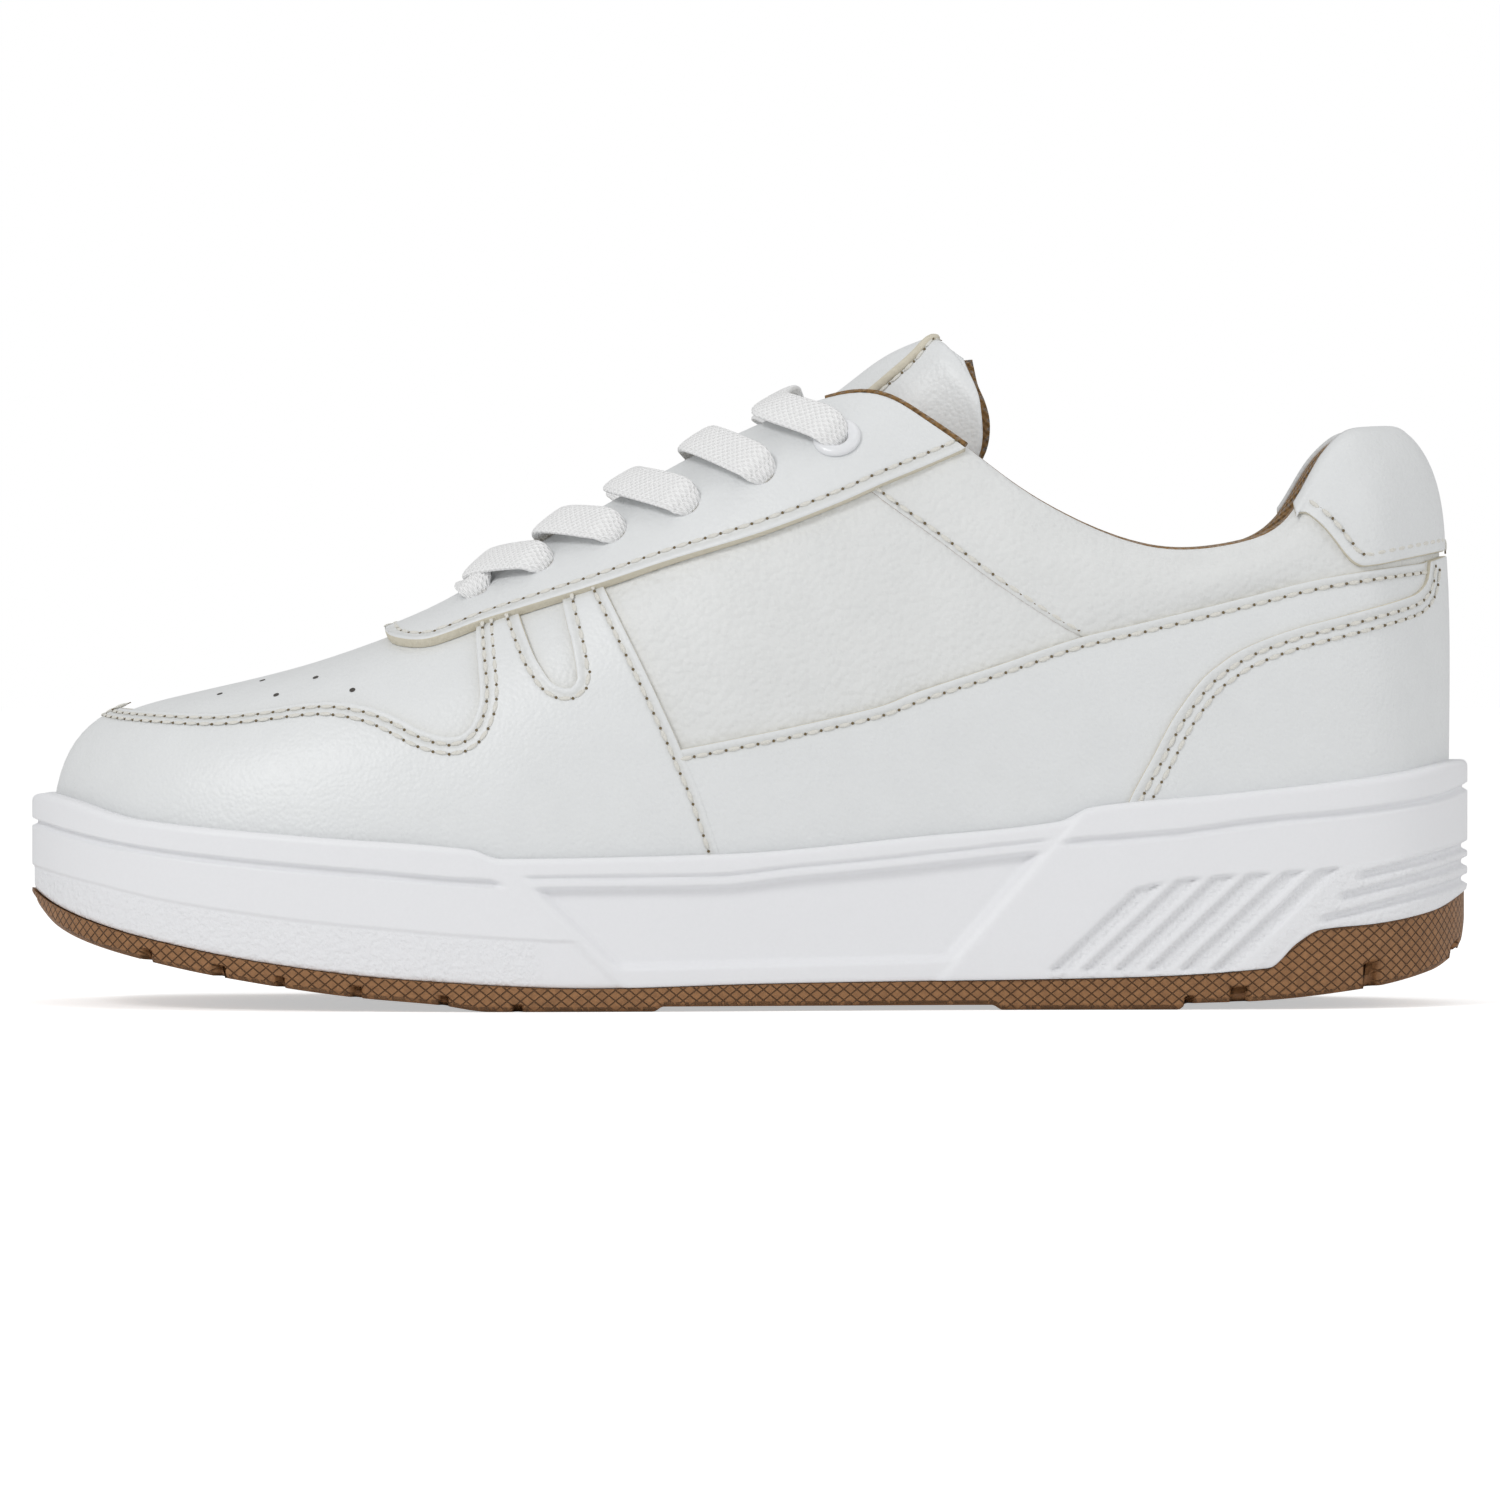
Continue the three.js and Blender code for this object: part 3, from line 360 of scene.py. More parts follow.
def skinFrom(name, shapes, depth, materials, spacing=2.6, stitched=(), thick=None):
    # a leather piece with rounded, cut edges; stitched lines give the distance to a sewn edge
    roll, bed = 0.25, 0.1  # the edge's rounding, and the gap left to the last
    places, tris = np.zeros((0, 2)), np.zeros((0, 3), int)
    for loops in shapes:
        morePlaces, moreTris = cutShape(loops, spacing)
        tris = np.vstack([tris, moreTris + len(places)])
        places = np.vstack([places, morePlaces])
    g, t = places[:, 0], np.clip(places[:, 1], 0, 1)
    outside = depth(g, t) if callable(depth) else np.full(len(g), float(depth))
    normals = lastNormal(g, t)
    points = onLast(g, t) + normals * outside[:, None]
    close = nearTree(points)
    merged = np.arange(len(points))
    for k, p in enumerate(points):  # the two halves of the upper are one skin over the ridge
        merged[k] = merged[min(j for _, j, _ in close.find_range(p, 0.02))]
    tris = merged[tris]
    tris = tris[(tris[:, 0] != tris[:, 1]) & (tris[:, 1] != tris[:, 2]) & (tris[:, 0] != tris[:, 2])]
    a, b, c = points[tris[:, 0]], points[tris[:, 1]], points[tris[:, 2]]
    facing = np.einsum("ij,ij->i", np.cross(b - a, c - a), normals[tris].sum(1))
    tris[facing < 0] = tris[facing < 0][:, ::-1]
    directed = dict.fromkeys((tri[k], tri[(k + 1) % 3]) for tri in tris for k in range(3))
    rim = [(i, j) for (i, j) in directed if (j, i) not in directed]
    gaps = np.full(len(points), 9.0)
    if len(stitched):
        tree = nearTree(np.vstack(stitched))
        gaps = np.array([tree.find(p)[2] for p in points])
    used = sorted({i for pair in rim for i in pair})
    rank = {v: k for k, v in enumerate(used)}
    away = np.zeros((len(used), 3))
    for i, j in rim:
        out = np.cross(points[j] - points[i], normals[i])
        away[rank[i]] += out
        away[rank[j]] += out
    away = unit(away)
    edge, lean = points[used], normals[used]
    full = outside - bed if thick is None else np.full(len(points), float(thick))
    deep = full[used]
    rings = [(0.10, roll * 0.55), (0.18, roll * 1.5), (0.18, -roll), (0.08, 0)]
    verts = [points]
    for push, down in rings:
        drop = deep + down if down < 0 else (deep if push == 0.08 else np.full(len(deep), down))
        verts.append(edge + away * push - lean * np.minimum(drop, deep)[:, None])
    inner = points - normals * full[:, None]
    base = [0]
    for block in verts:
        base.append(base[-1] + len(block))
    verts.append(inner)
    faces = [tuple(tri) for tri in tris]
    kinds = [0] * len(faces)
    innerStart = base[-1]
    faces += [tuple(innerStart + tri[::-1]) for tri in tris]
    kinds += [0] * len(tris)
    for i, j in rim:
        chainI = [i] + [base[k] + rank[i] for k in range(1, 5)] + [innerStart + i]
        chainJ = [j] + [base[k] + rank[j] for k in range(1, 5)] + [innerStart + j]
        for k in range(5):
            faces.append((chainJ[k], chainI[k], chainI[k + 1], chainJ[k + 1]))
            kinds.append(1 if len(materials) > 1 and k > 0 else 0)
    obj = makeObject(name, np.vstack(verts), faces, materials, kinds)
    putAttribute(obj, "sewnGap", np.concatenate([gaps] + [gaps[used]] * len(rings) + [gaps]))
    return obj


# ---- finishes ----

def newGroup(name, inputs, outputs, kind="ShaderNodeTree"):
    tree = bpy.data.node_groups.new(name, kind)
    for label, socketKind, value in inputs:
        socket = tree.interface.new_socket(label, in_out="INPUT", socket_type=f"NodeSocket{socketKind}")
        if value is not None:
            socket.default_value = value
    for label, socketKind in outputs:
        tree.interface.new_socket(label, in_out="OUTPUT", socket_type=f"NodeSocket{socketKind}")
    return tree, tree.nodes.new("NodeGroupInput"), tree.nodes.new("NodeGroupOutput")


def addNode(tree, kind, inputs=None, **settings):  # an input is a number, or a socket to link from
    node = tree.nodes.new(kind)
    for label, value in settings.items():
        setattr(node, label, value)
    for label, value in (inputs or {}).items():
        if isinstance(value, bpy.types.NodeSocket):
            tree.links.new(value, node.inputs[label])
        else:
            node.inputs[label].default_value = value
    return node


def addMath(tree, operation, *values, clamp=False):
    node = addNode(tree, "ShaderNodeMath", dict(enumerate(values)), operation=operation, use_clamp=clamp)
    return node.outputs[0]


def addNoise(tree, vector, scale, detail=2):
    inputs = {"Vector": vector, "Scale": scale, "Detail": detail}
    return addNode(tree, "ShaderNodeTexNoise", inputs).outputs[0]


def buildGrain():  # pebbled leather: creased cells over a finer noise, and a slow change of tone
    tree, start, end = newGroup("leatherGrain", [
        ("Vector", "Vector", None), ("Pebbles", "Float", 900.0), ("Creases", "Float", 160.0)],
        [("Height", "Float"), ("Tone", "Float")])
    vector, pebbles = start.outputs["Vector"], start.outputs["Pebbles"]
    warp = addNoise(tree, vector, start.outputs["Creases"])
    cells = addNode(tree, "ShaderNodeTexVoronoi", {"Vector": vector, "Scale": pebbles, "Smoothness": 0.4},
                    feature="SMOOTH_F1")
    height = addMath(tree, "MULTIPLY", cells.outputs["Distance"], -0.7)
    for noise, share in ((addNoise(tree, vector, pebbles, 4), 0.5), (warp, 0.8)):
        height = addMath(tree, "ADD", height, addMath(tree, "MULTIPLY", noise, share))
    tree.links.new(height, end.inputs["Height"])
    tree.links.new(warp, end.inputs["Tone"])
    return tree


def buildSeamDip():  # how far a sewn edge is drawn down, from the distance to the edge in mm; Mask is where painted shade darkens that dip
    tree, start, end = newGroup("seamDip", [
        ("Gap", "Float", 9.0), ("Seam", "Float", 1.9), ("Width", "Float", 0.7)],
        [("Height", "Float"), ("Mask", "Float")])
    off = addMath(tree, "SUBTRACT", start.outputs["Gap"], start.outputs["Seam"])
    share = addMath(tree, "DIVIDE", off, start.outputs["Width"])
    square = addMath(tree, "MULTIPLY", share, share)
    bell = addMath(tree, "POWER", 2.718, addMath(tree, "MULTIPLY", square, -1))
    tree.links.new(addMath(tree, "MULTIPLY", bell, -1), end.inputs["Height"])
    tree.links.new(bell, end.inputs["Mask"])
    return tree


def buildWeave():  # over and under threads, from a flat coordinate; the Tone output is painted shade where the threads dip
    tree, start, end = newGroup("threadWeave", [
        ("Vector", "Vector", None), ("Threads", "Float", 1500.0)], [("Height", "Float"), ("Tone", "Float")])
    vector, threads = start.outputs["Vector"], start.outputs["Threads"]
    split = addNode(tree, "ShaderNodeSeparateXYZ", {0: vector})
    waves = [addMath(tree, "SINE", addMath(tree, "MULTIPLY", axis, threads)) for axis in split.outputs]
    crossing = addMath(tree, "MULTIPLY", addMath(tree, "ADD", waves[0], waves[1]), waves[2])
    fuzz = addMath(tree, "MULTIPLY", addNoise(tree, vector, 700, 3), 0.8)
    tree.links.new(addMath(tree, "ADD", crossing, fuzz), end.inputs["Height"])
    # painted shade: darker where the weave's height is low, lighter on raised threads
    tree.links.new(addMath(tree, "MULTIPLY_ADD", crossing, 0.25, 0.5, clamp=True), end.inputs["Tone"])
    return tree


grainGroup, seamGroup, weaveGroup = buildGrain(), buildSeamDip(), buildWeave()


def startMaterial(name, color, roughness, **sockets):
    material = bpy.data.materials.new(name)
    material.use_nodes = True
    tree = material.node_tree
    shader = tree.nodes["Principled BSDF"]
    shader.inputs["Base Color"].default_value = (*color, 1)
    shader.inputs["Roughness"].default_value = roughness
    for label, value in sockets.items():
        shader.inputs[label.replace("_", " ")].default_value = value
    return material, tree, shader


def objectVector(tree):
    return tree.nodes.new("ShaderNodeTexCoord").outputs["Object"]


def attributeOf(tree, name):
    return addNode(tree, "ShaderNodeAttribute", attribute_name=name).outputs["Fac"]


def addBump(tree, shader, height, distance):
    bump = addNode(tree, "ShaderNodeBump", {"Distance": distance, "Strength": 1.0, "Height": height})
    tree.links.new(bump.outputs[0], shader.inputs["Normal"])


def mixTones(tree, factor, dark, light, blend="MIX"):  # a colour is four numbers, or a socket
    mix = addNode(tree, "ShaderNodeMix", {0: factor, 6: dark, 7: light}, data_type="RGBA", blend_type=blend)
    return mix.outputs[2]


def paintTones(tree, shader, factor, settings):
    tone = mixTones(tree, factor, (*settings["dark"], 1), (*settings["light"], 1))
    tree.links.new(tone, shader.inputs["Base Color"])
    return tone


def leatherMaterial(name, settings):
    material, tree, shader = startMaterial(name, settings["light"], settings["roughness"],
                                           Coat_Weight=settings["coat"], Coat_Roughness=0.35)
    grain = addNode(tree, "ShaderNodeGroup", {
        "Vector": objectVector(tree), "Pebbles": settings["pebbles"], "Creases": settings["creases"]},
        node_tree=grainGroup)
    dip = addNode(tree, "ShaderNodeGroup", {
        "Gap": attributeOf(tree, "sewnGap"), "Seam": settings["seam"], "Width": 0.8}, node_tree=seamGroup)
    height = addMath(tree, "ADD", addMath(tree, "MULTIPLY", grain.outputs["Height"], settings["grain"]),
                     addMath(tree, "MULTIPLY", dip.outputs["Height"], 0.25))
    addBump(tree, shader, height, 0.001)
    tone = paintTones(tree, shader, grain.outputs["Tone"], settings)
    # painted shade: the leather's colour is darkened along the dip beside each sewn edge
    seamShade = addMath(tree, "MULTIPLY", dip.outputs["Mask"], 0.6)
    shade = mixTones(tree, seamShade, tone, (0.90, 0.89, 0.86, 1), "MULTIPLY")
    tree.links.new(shade, shader.inputs["Base Color"])
    return material


leathers = {
    "smooth": {"light": (0.80, 0.815, 0.82), "dark": (0.76, 0.775, 0.78), "roughness": 0.42, "coat": 0.15,
               "pebbles": 1100.0, "creases": 140.0, "grain": 0.13, "seam": 1.7},
    "grained": {"light": (0.80, 0.81, 0.805), "dark": (0.74, 0.75, 0.745), "roughness": 0.5, "coat": 0.08,
                "pebbles": 700.0, "creases": 110.0, "grain": 0.36, "seam": 1.7},
}
smoothLeather = leatherMaterial("smooth_leather", leathers["smooth"])
grainedLeather = leatherMaterial("grained_leather", leathers["grained"])


def plainMaterial(name, settings):  # a moulded or cut surface with fine noise in colour and height
    material, tree, shader = startMaterial(name, settings["light"], settings["roughness"],
                                           **settings.get("sockets", {}))
    noise = addNoise(tree, objectVector(tree), settings["scale"], 4)
    paintTones(tree, shader, noise, settings)
    height = noise
    if "stipple" in settings:  # rougher where the mould was stippled
        stipple = addNoise(tree, objectVector(tree), settings["stipple"])
        height = addMath(tree, "MULTIPLY", stipple, attributeOf(tree, "stipple"))
    addBump(tree, shader, height, settings["bump"])
    return material


def gumMaterial(name, settings):  # crossing lines follow the side wall's own run and height; the grooves also get painted shade
    material, tree, shader = startMaterial(name, settings["light"], settings["roughness"],
                                           Specular_IOR_Level=0.35)
    split = addNode(tree, "ShaderNodeSeparateXYZ", {0: objectVector(tree)})
    run = attributeOf(tree, "wallRun")
    rise = addMath(tree, "MULTIPLY", split.outputs[2], settings["steep"] / mm)
    lines = []
    for operation in ("ADD", "SUBTRACT"):
        phase = addMath(tree, "DIVIDE", addMath(tree, operation, run, rise), settings["diamond"])
        middle = addMath(tree, "ABSOLUTE", addMath(tree, "SUBTRACT", addMath(tree, "FRACT", phase), 0.5))
        lines.append(addMath(tree, "MULTIPLY_ADD", middle, 12.0, -4.9, clamp=True))
    hatch = addMath(tree, "MULTIPLY", addMath(tree, "MAXIMUM", *lines), attributeOf(tree, "wallMask"))
    noise = addNoise(tree, objectVector(tree), settings["scale"])
    height = addMath(tree, "SUBTRACT", addMath(tree, "MULTIPLY", noise, 0.25), hatch)
    # painted shade: the colour is darkened in the crossing grooves, on top of a random tone
    tone = addMath(tree, "SUBTRACT", noise, addMath(tree, "MULTIPLY", hatch, 0.7), clamp=True)
    paintTones(tree, shader, tone, settings)
    addBump(tree, shader, height, settings["bump"])
    return material


def wovenMaterial(name, settings):
    material, tree, shader = startMaterial(name, settings["light"], settings["roughness"],
                                           Sheen_Weight=0.3, Sheen_Roughness=0.5)
    weave = addNode(tree, "ShaderNodeGroup", {
        "Vector": objectVector(tree), "Threads": settings["threads"]}, node_tree=weaveGroup)
    paintTones(tree, shader, weave.outputs["Tone"], settings)
    addBump(tree, shader, weave.outputs["Height"], settings["bump"])
    return material


def laceMaterial(name, settings):  # a flat braid: slanted strands that cross along the lace, with painted shade in its dips
    material, tree, shader = startMaterial(name, settings["light"], 0.8,
                                           Sheen_Weight=0.3, Sheen_Roughness=0.5)
    uv = addNode(tree, "ShaderNodeUVMap", uv_map="braid")
    split = addNode(tree, "ShaderNodeSeparateXYZ", {0: uv.outputs[0]})
    along, across = split.outputs[0], split.outputs[1]

    def wave(place, pitch):
        return addMath(tree, "SINE", addMath(tree, "MULTIPLY", place, 2 * math.pi / pitch))

    left, right = (wave(addMath(tree, way, along, across), settings["strand"]) for way in ("ADD", "SUBTRACT"))
    ribs = addMath(tree, "MULTIPLY", wave(across, settings["cord"]), 0.6)
    height = addMath(tree, "ADD", addMath(tree, "MAXIMUM", left, right), ribs)
    # painted shade: the colour follows the braid's height, darker in the dips between strands
    paintTones(tree, shader, addMath(tree, "MULTIPLY_ADD", height, 0.3, 0.55, clamp=True), settings)
    addBump(tree, shader, height, settings["bump"])
    return material


moulded = {
    "cut_edge": {"light": (0.72, 0.68, 0.57), "dark": (0.62, 0.57, 0.45), "roughness": 0.8,
                 "scale": 900.0, "bump": 0.0003},
    "cream_thread": {"light": (0.82, 0.81, 0.76), "dark": (0.72, 0.70, 0.64), "roughness": 0.7,
                     "scale": 2500.0, "bump": 0.0003},
    "hole_shadow": {"light": (0.10, 0.09, 0.08), "dark": (0.05, 0.045, 0.04), "roughness": 0.9,
                    "scale": 900.0, "bump": 0.0002},
    # painted shade: a dark colour for the shadow inside each needle hole
    "needle_hole_shade": {"light": (0.20, 0.15, 0.08), "dark": (0.13, 0.095, 0.05), "roughness": 0.9,
                    "scale": 900.0, "bump": 0.0001},
    "painted_ring": {"light": (0.84, 0.85, 0.87), "dark": (0.80, 0.81, 0.83), "roughness": 0.28,
                     "scale": 600.0, "bump": 0.00004, "sockets": {"Coat_Weight": 0.5}},
    "raw_foam": {"light": (0.80, 0.75, 0.62), "dark": (0.66, 0.60, 0.47), "roughness": 0.95,
                 "scale": 1200.0, "bump": 0.0005},
    "fibre_board": {"light": (0.69, 0.62, 0.47), "dark": (0.56, 0.49, 0.35), "roughness": 0.9,
                    "scale": 400.0, "bump": 0.0003},
    "stiff_sheet": {"light": (0.62, 0.57, 0.48), "dark": (0.52, 0.47, 0.38), "roughness": 0.8,
                    "scale": 700.0, "bump": 0.0002},
    "clear_tip": {"light": (0.82, 0.82, 0.8), "dark": (0.76, 0.76, 0.74), "roughness": 0.2,
                  "scale": 500.0, "bump": 0.00004, "sockets": {"Coat_Weight": 0.4}},
}
finish = {name: plainMaterial(name, settings) for name, settings in moulded.items()}
finish["gum_rubber"] = gumMaterial("gum_rubber", {
    "light": (0.40, 0.20, 0.085), "dark": (0.17, 0.08, 0.032), "roughness": 0.5, "scale": 700.0,
    "steep": 1.25, "diamond": 2.75, "bump": 0.0005})
finish["white_rubber"] = plainMaterial("white_rubber", {
    "light": (0.86, 0.865, 0.885), "dark": (0.83, 0.835, 0.855), "roughness": 0.5, "scale": 1400.0,
    "bump": 0.00045, "stipple": 900.0})
finish["tan_textile"] = wovenMaterial("tan_textile", {
    "light": (0.33, 0.185, 0.062), "dark": (0.20, 0.105, 0.033), "roughness": 0.9, "threads": 3600.0,
    "bump": 0.0003})
finish["lace"] = laceMaterial("woven_lace", {
    "light": (0.97, 0.97, 0.97), "dark": (0.87, 0.87, 0.87), "strand": 1.5, "cord": 0.75, "bump": 0.0001})
print("finishes made")

# ---- the sole ----

soleLines = {
    "tread": [(-150, 23.2), (-147.6, 20.4), (-142.9, 16.4), (-136.3, 13.5), (-123.7, 10.1), (-108, 6.9),
              (-80, 2.9), (-62.7, 1.4), (-52, 0), (-19, 0), (-17, 1), (50, 1), (52, 0), (88, 0),
              (90, 1.2), (102.6, 1.6), (125.4, 3.9), (141, 7.4), (145.8, 9.9), (148.2, 12.2), (150, 20)],
    "top": [(-150, 24.1), (-144.3, 21), (-136.3, 18), (-123, 14.4), (-96.3, 9.4), (-69.7, 6.4),
            (-30.9, 4.6), (2.4, 5.4), (73.5, 6.4), (106.3, 8.3), (112.2, 13.4), (117, 16.1),
            (129, 17.3), (141, 19.7), (150, 24.1)],
    "rim": [(-150, 43.4), (-147.6, 43.8), (-142.9, 43), (-126.3, 38.8), (-89.6, 35.4), (-56.4, 32.9),
            (-50, 31), (-4.3, 31.9), (35.7, 35.4), (63.7, 38.4), (70.3, 41.3), (99, 44.1), (135, 48.2),
            (145.2, 50.1), (150, 50.9)],
}
treadAt, soleTop, rimAt = (curveThrough(soleLines[k]) for k in ("tread", "top", "rim"))


def evenStations(pitch):  # stations from toe to heel at an even pitch along the outline
    g = np.linspace(0, 16, 3201)
    x, y = outline(g, 0)
    x2, y2 = outline(-g, 0)
    step = np.maximum(np.hypot(np.diff(x), np.diff(y)), np.hypot(np.diff(x2), np.diff(y2)))
    run = np.concatenate([[0], np.cumsum(step)])
    count = int(run[-1] / pitch)
    return np.interp(np.linspace(0, run[-1], count + 1), run, g)


def closedRing(stations):
    return np.concatenate([stations, (32 - stations[::-1])[1:-1]])


def notch(x, at, wide, edge=0.5):
    return 1 - smoothStep(np.abs(x - at), wide / 2 - edge / 2, wide / 2 + edge / 2)


outsoleShape = {
    "pitch": 0.62, "across": 84, "bevel": 1.0, "bevelShare": 0.12, "notchIn": 3.0,
    "notches": [(-122.8, 1.6, 2.6), (-107.7, 2.2, 2.6), (-95, 1.6, 2.4), (-79.4, 2.2, 2.6),
                (-61.6, 1.8, 2.2), (-46.6, 1.8, 1.6), (90, 1.6, 1.8), (100.5, 3.4, 3.4),
                (128, 2.8, 5.6), (146.6, 1.6, 2.4)],
    "chevron": 9.0, "groove": 1.5, "deep": 1.5,
}


def treadCut(x, y):  # how deep the tread's grooves are at a place under the sole
    s = outsoleShape
    deep = np.zeros_like(x)
    for at, wide, down in s["notches"]:
        deep = np.maximum(deep, down * notch(x, at, wide))
    zig = np.abs(np.mod(y / 18.0, 1) - 0.5) * 2 * 6
    phase = np.mod((x + zig) / s["chevron"], 1) * s["chevron"]
    lane = 1 - smoothStep(np.abs(phase - s["chevron"] / 2), s["groove"] / 2 - 0.3, s["groove"] / 2 + 0.3)
    foot = ((x > -130) & (x < -24)) | ((x > 58) & (x < 138))
    centre = outlineMiddle(x)
    half = outlineHalf(x)
    inside = 1 - smoothStep(np.abs(y - centre), half - 9, half - 7.5)
    return np.maximum(deep, s["deep"] * lane * foot * inside)


planRun = np.linspace(0, 16, 400)
lateralX, lateralY = outline(-planRun, 0)
medialX, medialY = outline(planRun, 0)


def outlineMiddle(x):
    return (np.interp(x, lateralX, lateralY) + np.interp(x, medialX, medialY)) / 2


def outlineHalf(x):
    return (np.interp(x, medialX, medialY) - np.interp(x, lateralX, lateralY)) / 2


def soleGrid(stations, inset, steps):  # rows that cross the sole from the outer to the inner edge
    ax, ay = outline(-stations, inset)
    bx, by = outline(stations, inset)
    share = np.linspace(0, 1, steps + 1)
    x = ax[:, None] * (1 - share) + bx[:, None] * share
    y = ay[:, None] * (1 - share) + by[:, None] * share
    return x, y


def makeOutsole():
    s = outsoleShape
    stations = evenStations(s["pitch"])
    ring = closedRing(stations)
    n = len(ring)
    rows, mask = [], []
    heights = np.concatenate([[0.0], np.linspace(s["bevelShare"], 1, 26)])
    for k, share in enumerate(heights):
        x, y = outline(ring, 0)
        low, high = treadAt(x), soleTop(x)
        bevel = np.minimum(s["bevel"], (high - low) / 2)
        if share <= s["bevelShare"]:
            z = low + bevel * (share / s["bevelShare"])
        else:
            z = low + bevel + (high - low - bevel) * (share - s["bevelShare"]) / (1 - s["bevelShare"])
        inset = (1 - share / s["bevelShare"]) * s["bevel"] if share < s["bevelShare"] else np.zeros(n)
        tall = z - low
        cut = np.zeros(n)
        for at, wide, down in s["notches"]:
            cut = np.maximum(cut, notch(x, at, wide) * (1 - smoothStep(tall, down * 0.8, down)))
        inset = inset + s["notchIn"] * cut
        mask.append((1 - cut) * (0.05 < share < 0.99))
        x, y = outline(ring, inset)
        rows.append(np.stack([x, y, z], -1))
    verts = np.vstack(rows)
    x, y = outline(ring, 0)
    step = np.hypot(np.diff(x, prepend=x[0]), np.diff(y, prepend=y[0]))
    run = np.cumsum(step)
    run = np.tile(np.minimum(run, run[-1] - run), len(rows))
    mask = np.concatenate(mask)
    faces = gridFaces(len(rows), n, closeColumns=True)
    for low in (True, False):
        steps = s["across"] if low else 12
        x, y = soleGrid(stations, s["bevel"] if low else 0, steps)
        z = soleTop(x)
        if low:
            z = treadAt(x) + treadCut(x, y) * smoothStep(np.minimum(soleTop(x) - treadAt(x), 6), 0.8, 3)
        block = np.stack([x, y, z], -1).reshape(-1, 3)
        if low:  # the border vertices are the ring's own
            block = block.reshape(len(stations), steps + 1, 3)
            block[:, -1] = rows[0][: len(stations)]
            count = len(stations)
            block[:, 0] = rows[0][np.concatenate([[0], np.arange(n - 1, count - 1, -1), [count - 1]])]
            block = block.reshape(-1, 3)
        faces += shifted(gridFaces(len(stations), steps + 1), len(verts))
        verts = np.vstack([verts, block])
    obj = makeObject("outsole_gum", verts, faces, [finish["gum_rubber"]])
    putAttribute(obj, "wallRun", np.concatenate([run, np.zeros(len(verts) - len(run))]))
    putAttribute(obj, "wallMask", np.concatenate([mask, np.zeros(len(verts) - len(mask))]))
    faceOutwards(obj, 2e-5, 1e-6)
    return obj


midsoleShape = {
    "pitch": 0.85, "rows": 84, "wall": 3.8, "rimRound": 1.3,
    "frontGroove": [(-150, 37.9), (-132.9, 34.1), (-119, 31.9), (-103, 30.1), (-89.6, 28.9), (-73, 27.6),
                    (-60.7, 26.5), (-52, 26)],
    "ledge": [(-150, 29), (-132.9, 25.4), (-119, 22.5), (-103, 20.1), (-89.6, 18.4), (-73, 16.9),
              (-55, 15.4), (-40, 14.5)],
    "panelTop": [(-50, 25.3), (-42.3, 25.4), (-6.2, 25.8), (9, 27.4), (22.4, 28.6), (59.1, 32.5),
                 (70, 33.6)],
    "panelLow": [(-50, 8.6), (-27.1, 8.9), (38.2, 10.3), (60, 10.8)],
    "heelGroove": [(66, 34.2), (71, 34.6), (87.2, 35.9), (105.2, 38.4), (123.2, 40.1), (141.2, 42.8),
                   (149.6, 45.3)],
    "ribTop": [(70, 24.2), (77.6, 24.8), (87.2, 26.7), (99.2, 27.8), (117.2, 28.9), (135.2, 31.5),
               (149, 34.4)],
    "ridges": [[(120, 25.9), (125.6, 27.1), (149.4, 32.9)], [(117, 21.9), (121.8, 22.9), (149, 29.6)],
               [(112, 17.2), (117.8, 18.3), (149, 26)]],
    "ribPitch": 6.6, "ribFrom": 81.0, "ribTo": 120.6, "ribSlant": 1.06,
}


def scored(z, line, wide, deep):
    return deep * (1 - smoothStep(np.abs(z - line), wide * 0.15, wide * 0.55))


def wallRelief(x, z):  # how far the side wall's moulded pattern lies in at a place, in mm
    s = midsoleShape
    leftX = -51 + 1.042 * (31.3 - z)
    rightX = 68.5 - 0.861 * (41.1 - z)
    front = 1 - smoothStep(x, leftX - 6, leftX - 4)
    heel = smoothStep(x, rightX + 1, rightX + 4)
    inset = scored(z, curveThrough(s["frontGroove"])(x), 1.7, 1.2) * front
    ledge = curveThrough(s["ledge"])(x)
    below = (1 - smoothStep(z, ledge - 0.6, ledge + 0.2)) * (1 - smoothStep(x, leftX - 3, leftX - 1))
    inset = inset + 0.5 * below
    top, low = curveThrough(s["panelTop"])(x), curveThrough(s["panelLow"])(x)
    across = smoothStep(x, leftX + 0.3, leftX + 3.2) * (1 - smoothStep(x, rightX - 2.6, rightX - 0.2))
    panel = across * (1 - smoothStep(z, top - 1.2, top)) * smoothStep(z, low - 0.8, low + 1.2)
    inset = inset + 2.0 * panel
    band = smoothStep(x, leftX + 1, leftX + 3) * (1 - smoothStep(x, rightX - 3, rightX - 1))
    inset = inset + scored(z, top + 1.7, 1.2, 0.7) * band
    inset = inset - 0.7 * smoothStep(x, rightX - 0.2, rightX + 1.6)
    inset = inset + scored(z, curveThrough(s["heelGroove"])(x), 1.7, 1.1) * heel
    ribTop = curveThrough(s["ribTop"])(x)
    slide = x + s["ribSlant"] * (27.7 - z)
    field = smoothStep(slide, s["ribFrom"] - 1, s["ribFrom"])
    field = field * (1 - smoothStep(slide, s["ribTo"], s["ribTo"] + 1))
    field = field * (1 - smoothStep(z, ribTop - 0.8, ribTop)) * smoothStep(z, 7.4, 8.6)
    phase = np.mod(slide - s["ribFrom"], s["ribPitch"]) / s["ribPitch"]
    inset = inset + field * 1.25 * smoothStep(phase, 0.16, 0.32) * (1 - smoothStep(phase, 0.7, 0.98))
    for line in s["ridges"]:
        start = line[1][0]
        inset = inset + scored(z, curveThrough(line)(x), 2.2, 1.3) * smoothStep(x, start - 1.5, start + 1)
    return inset


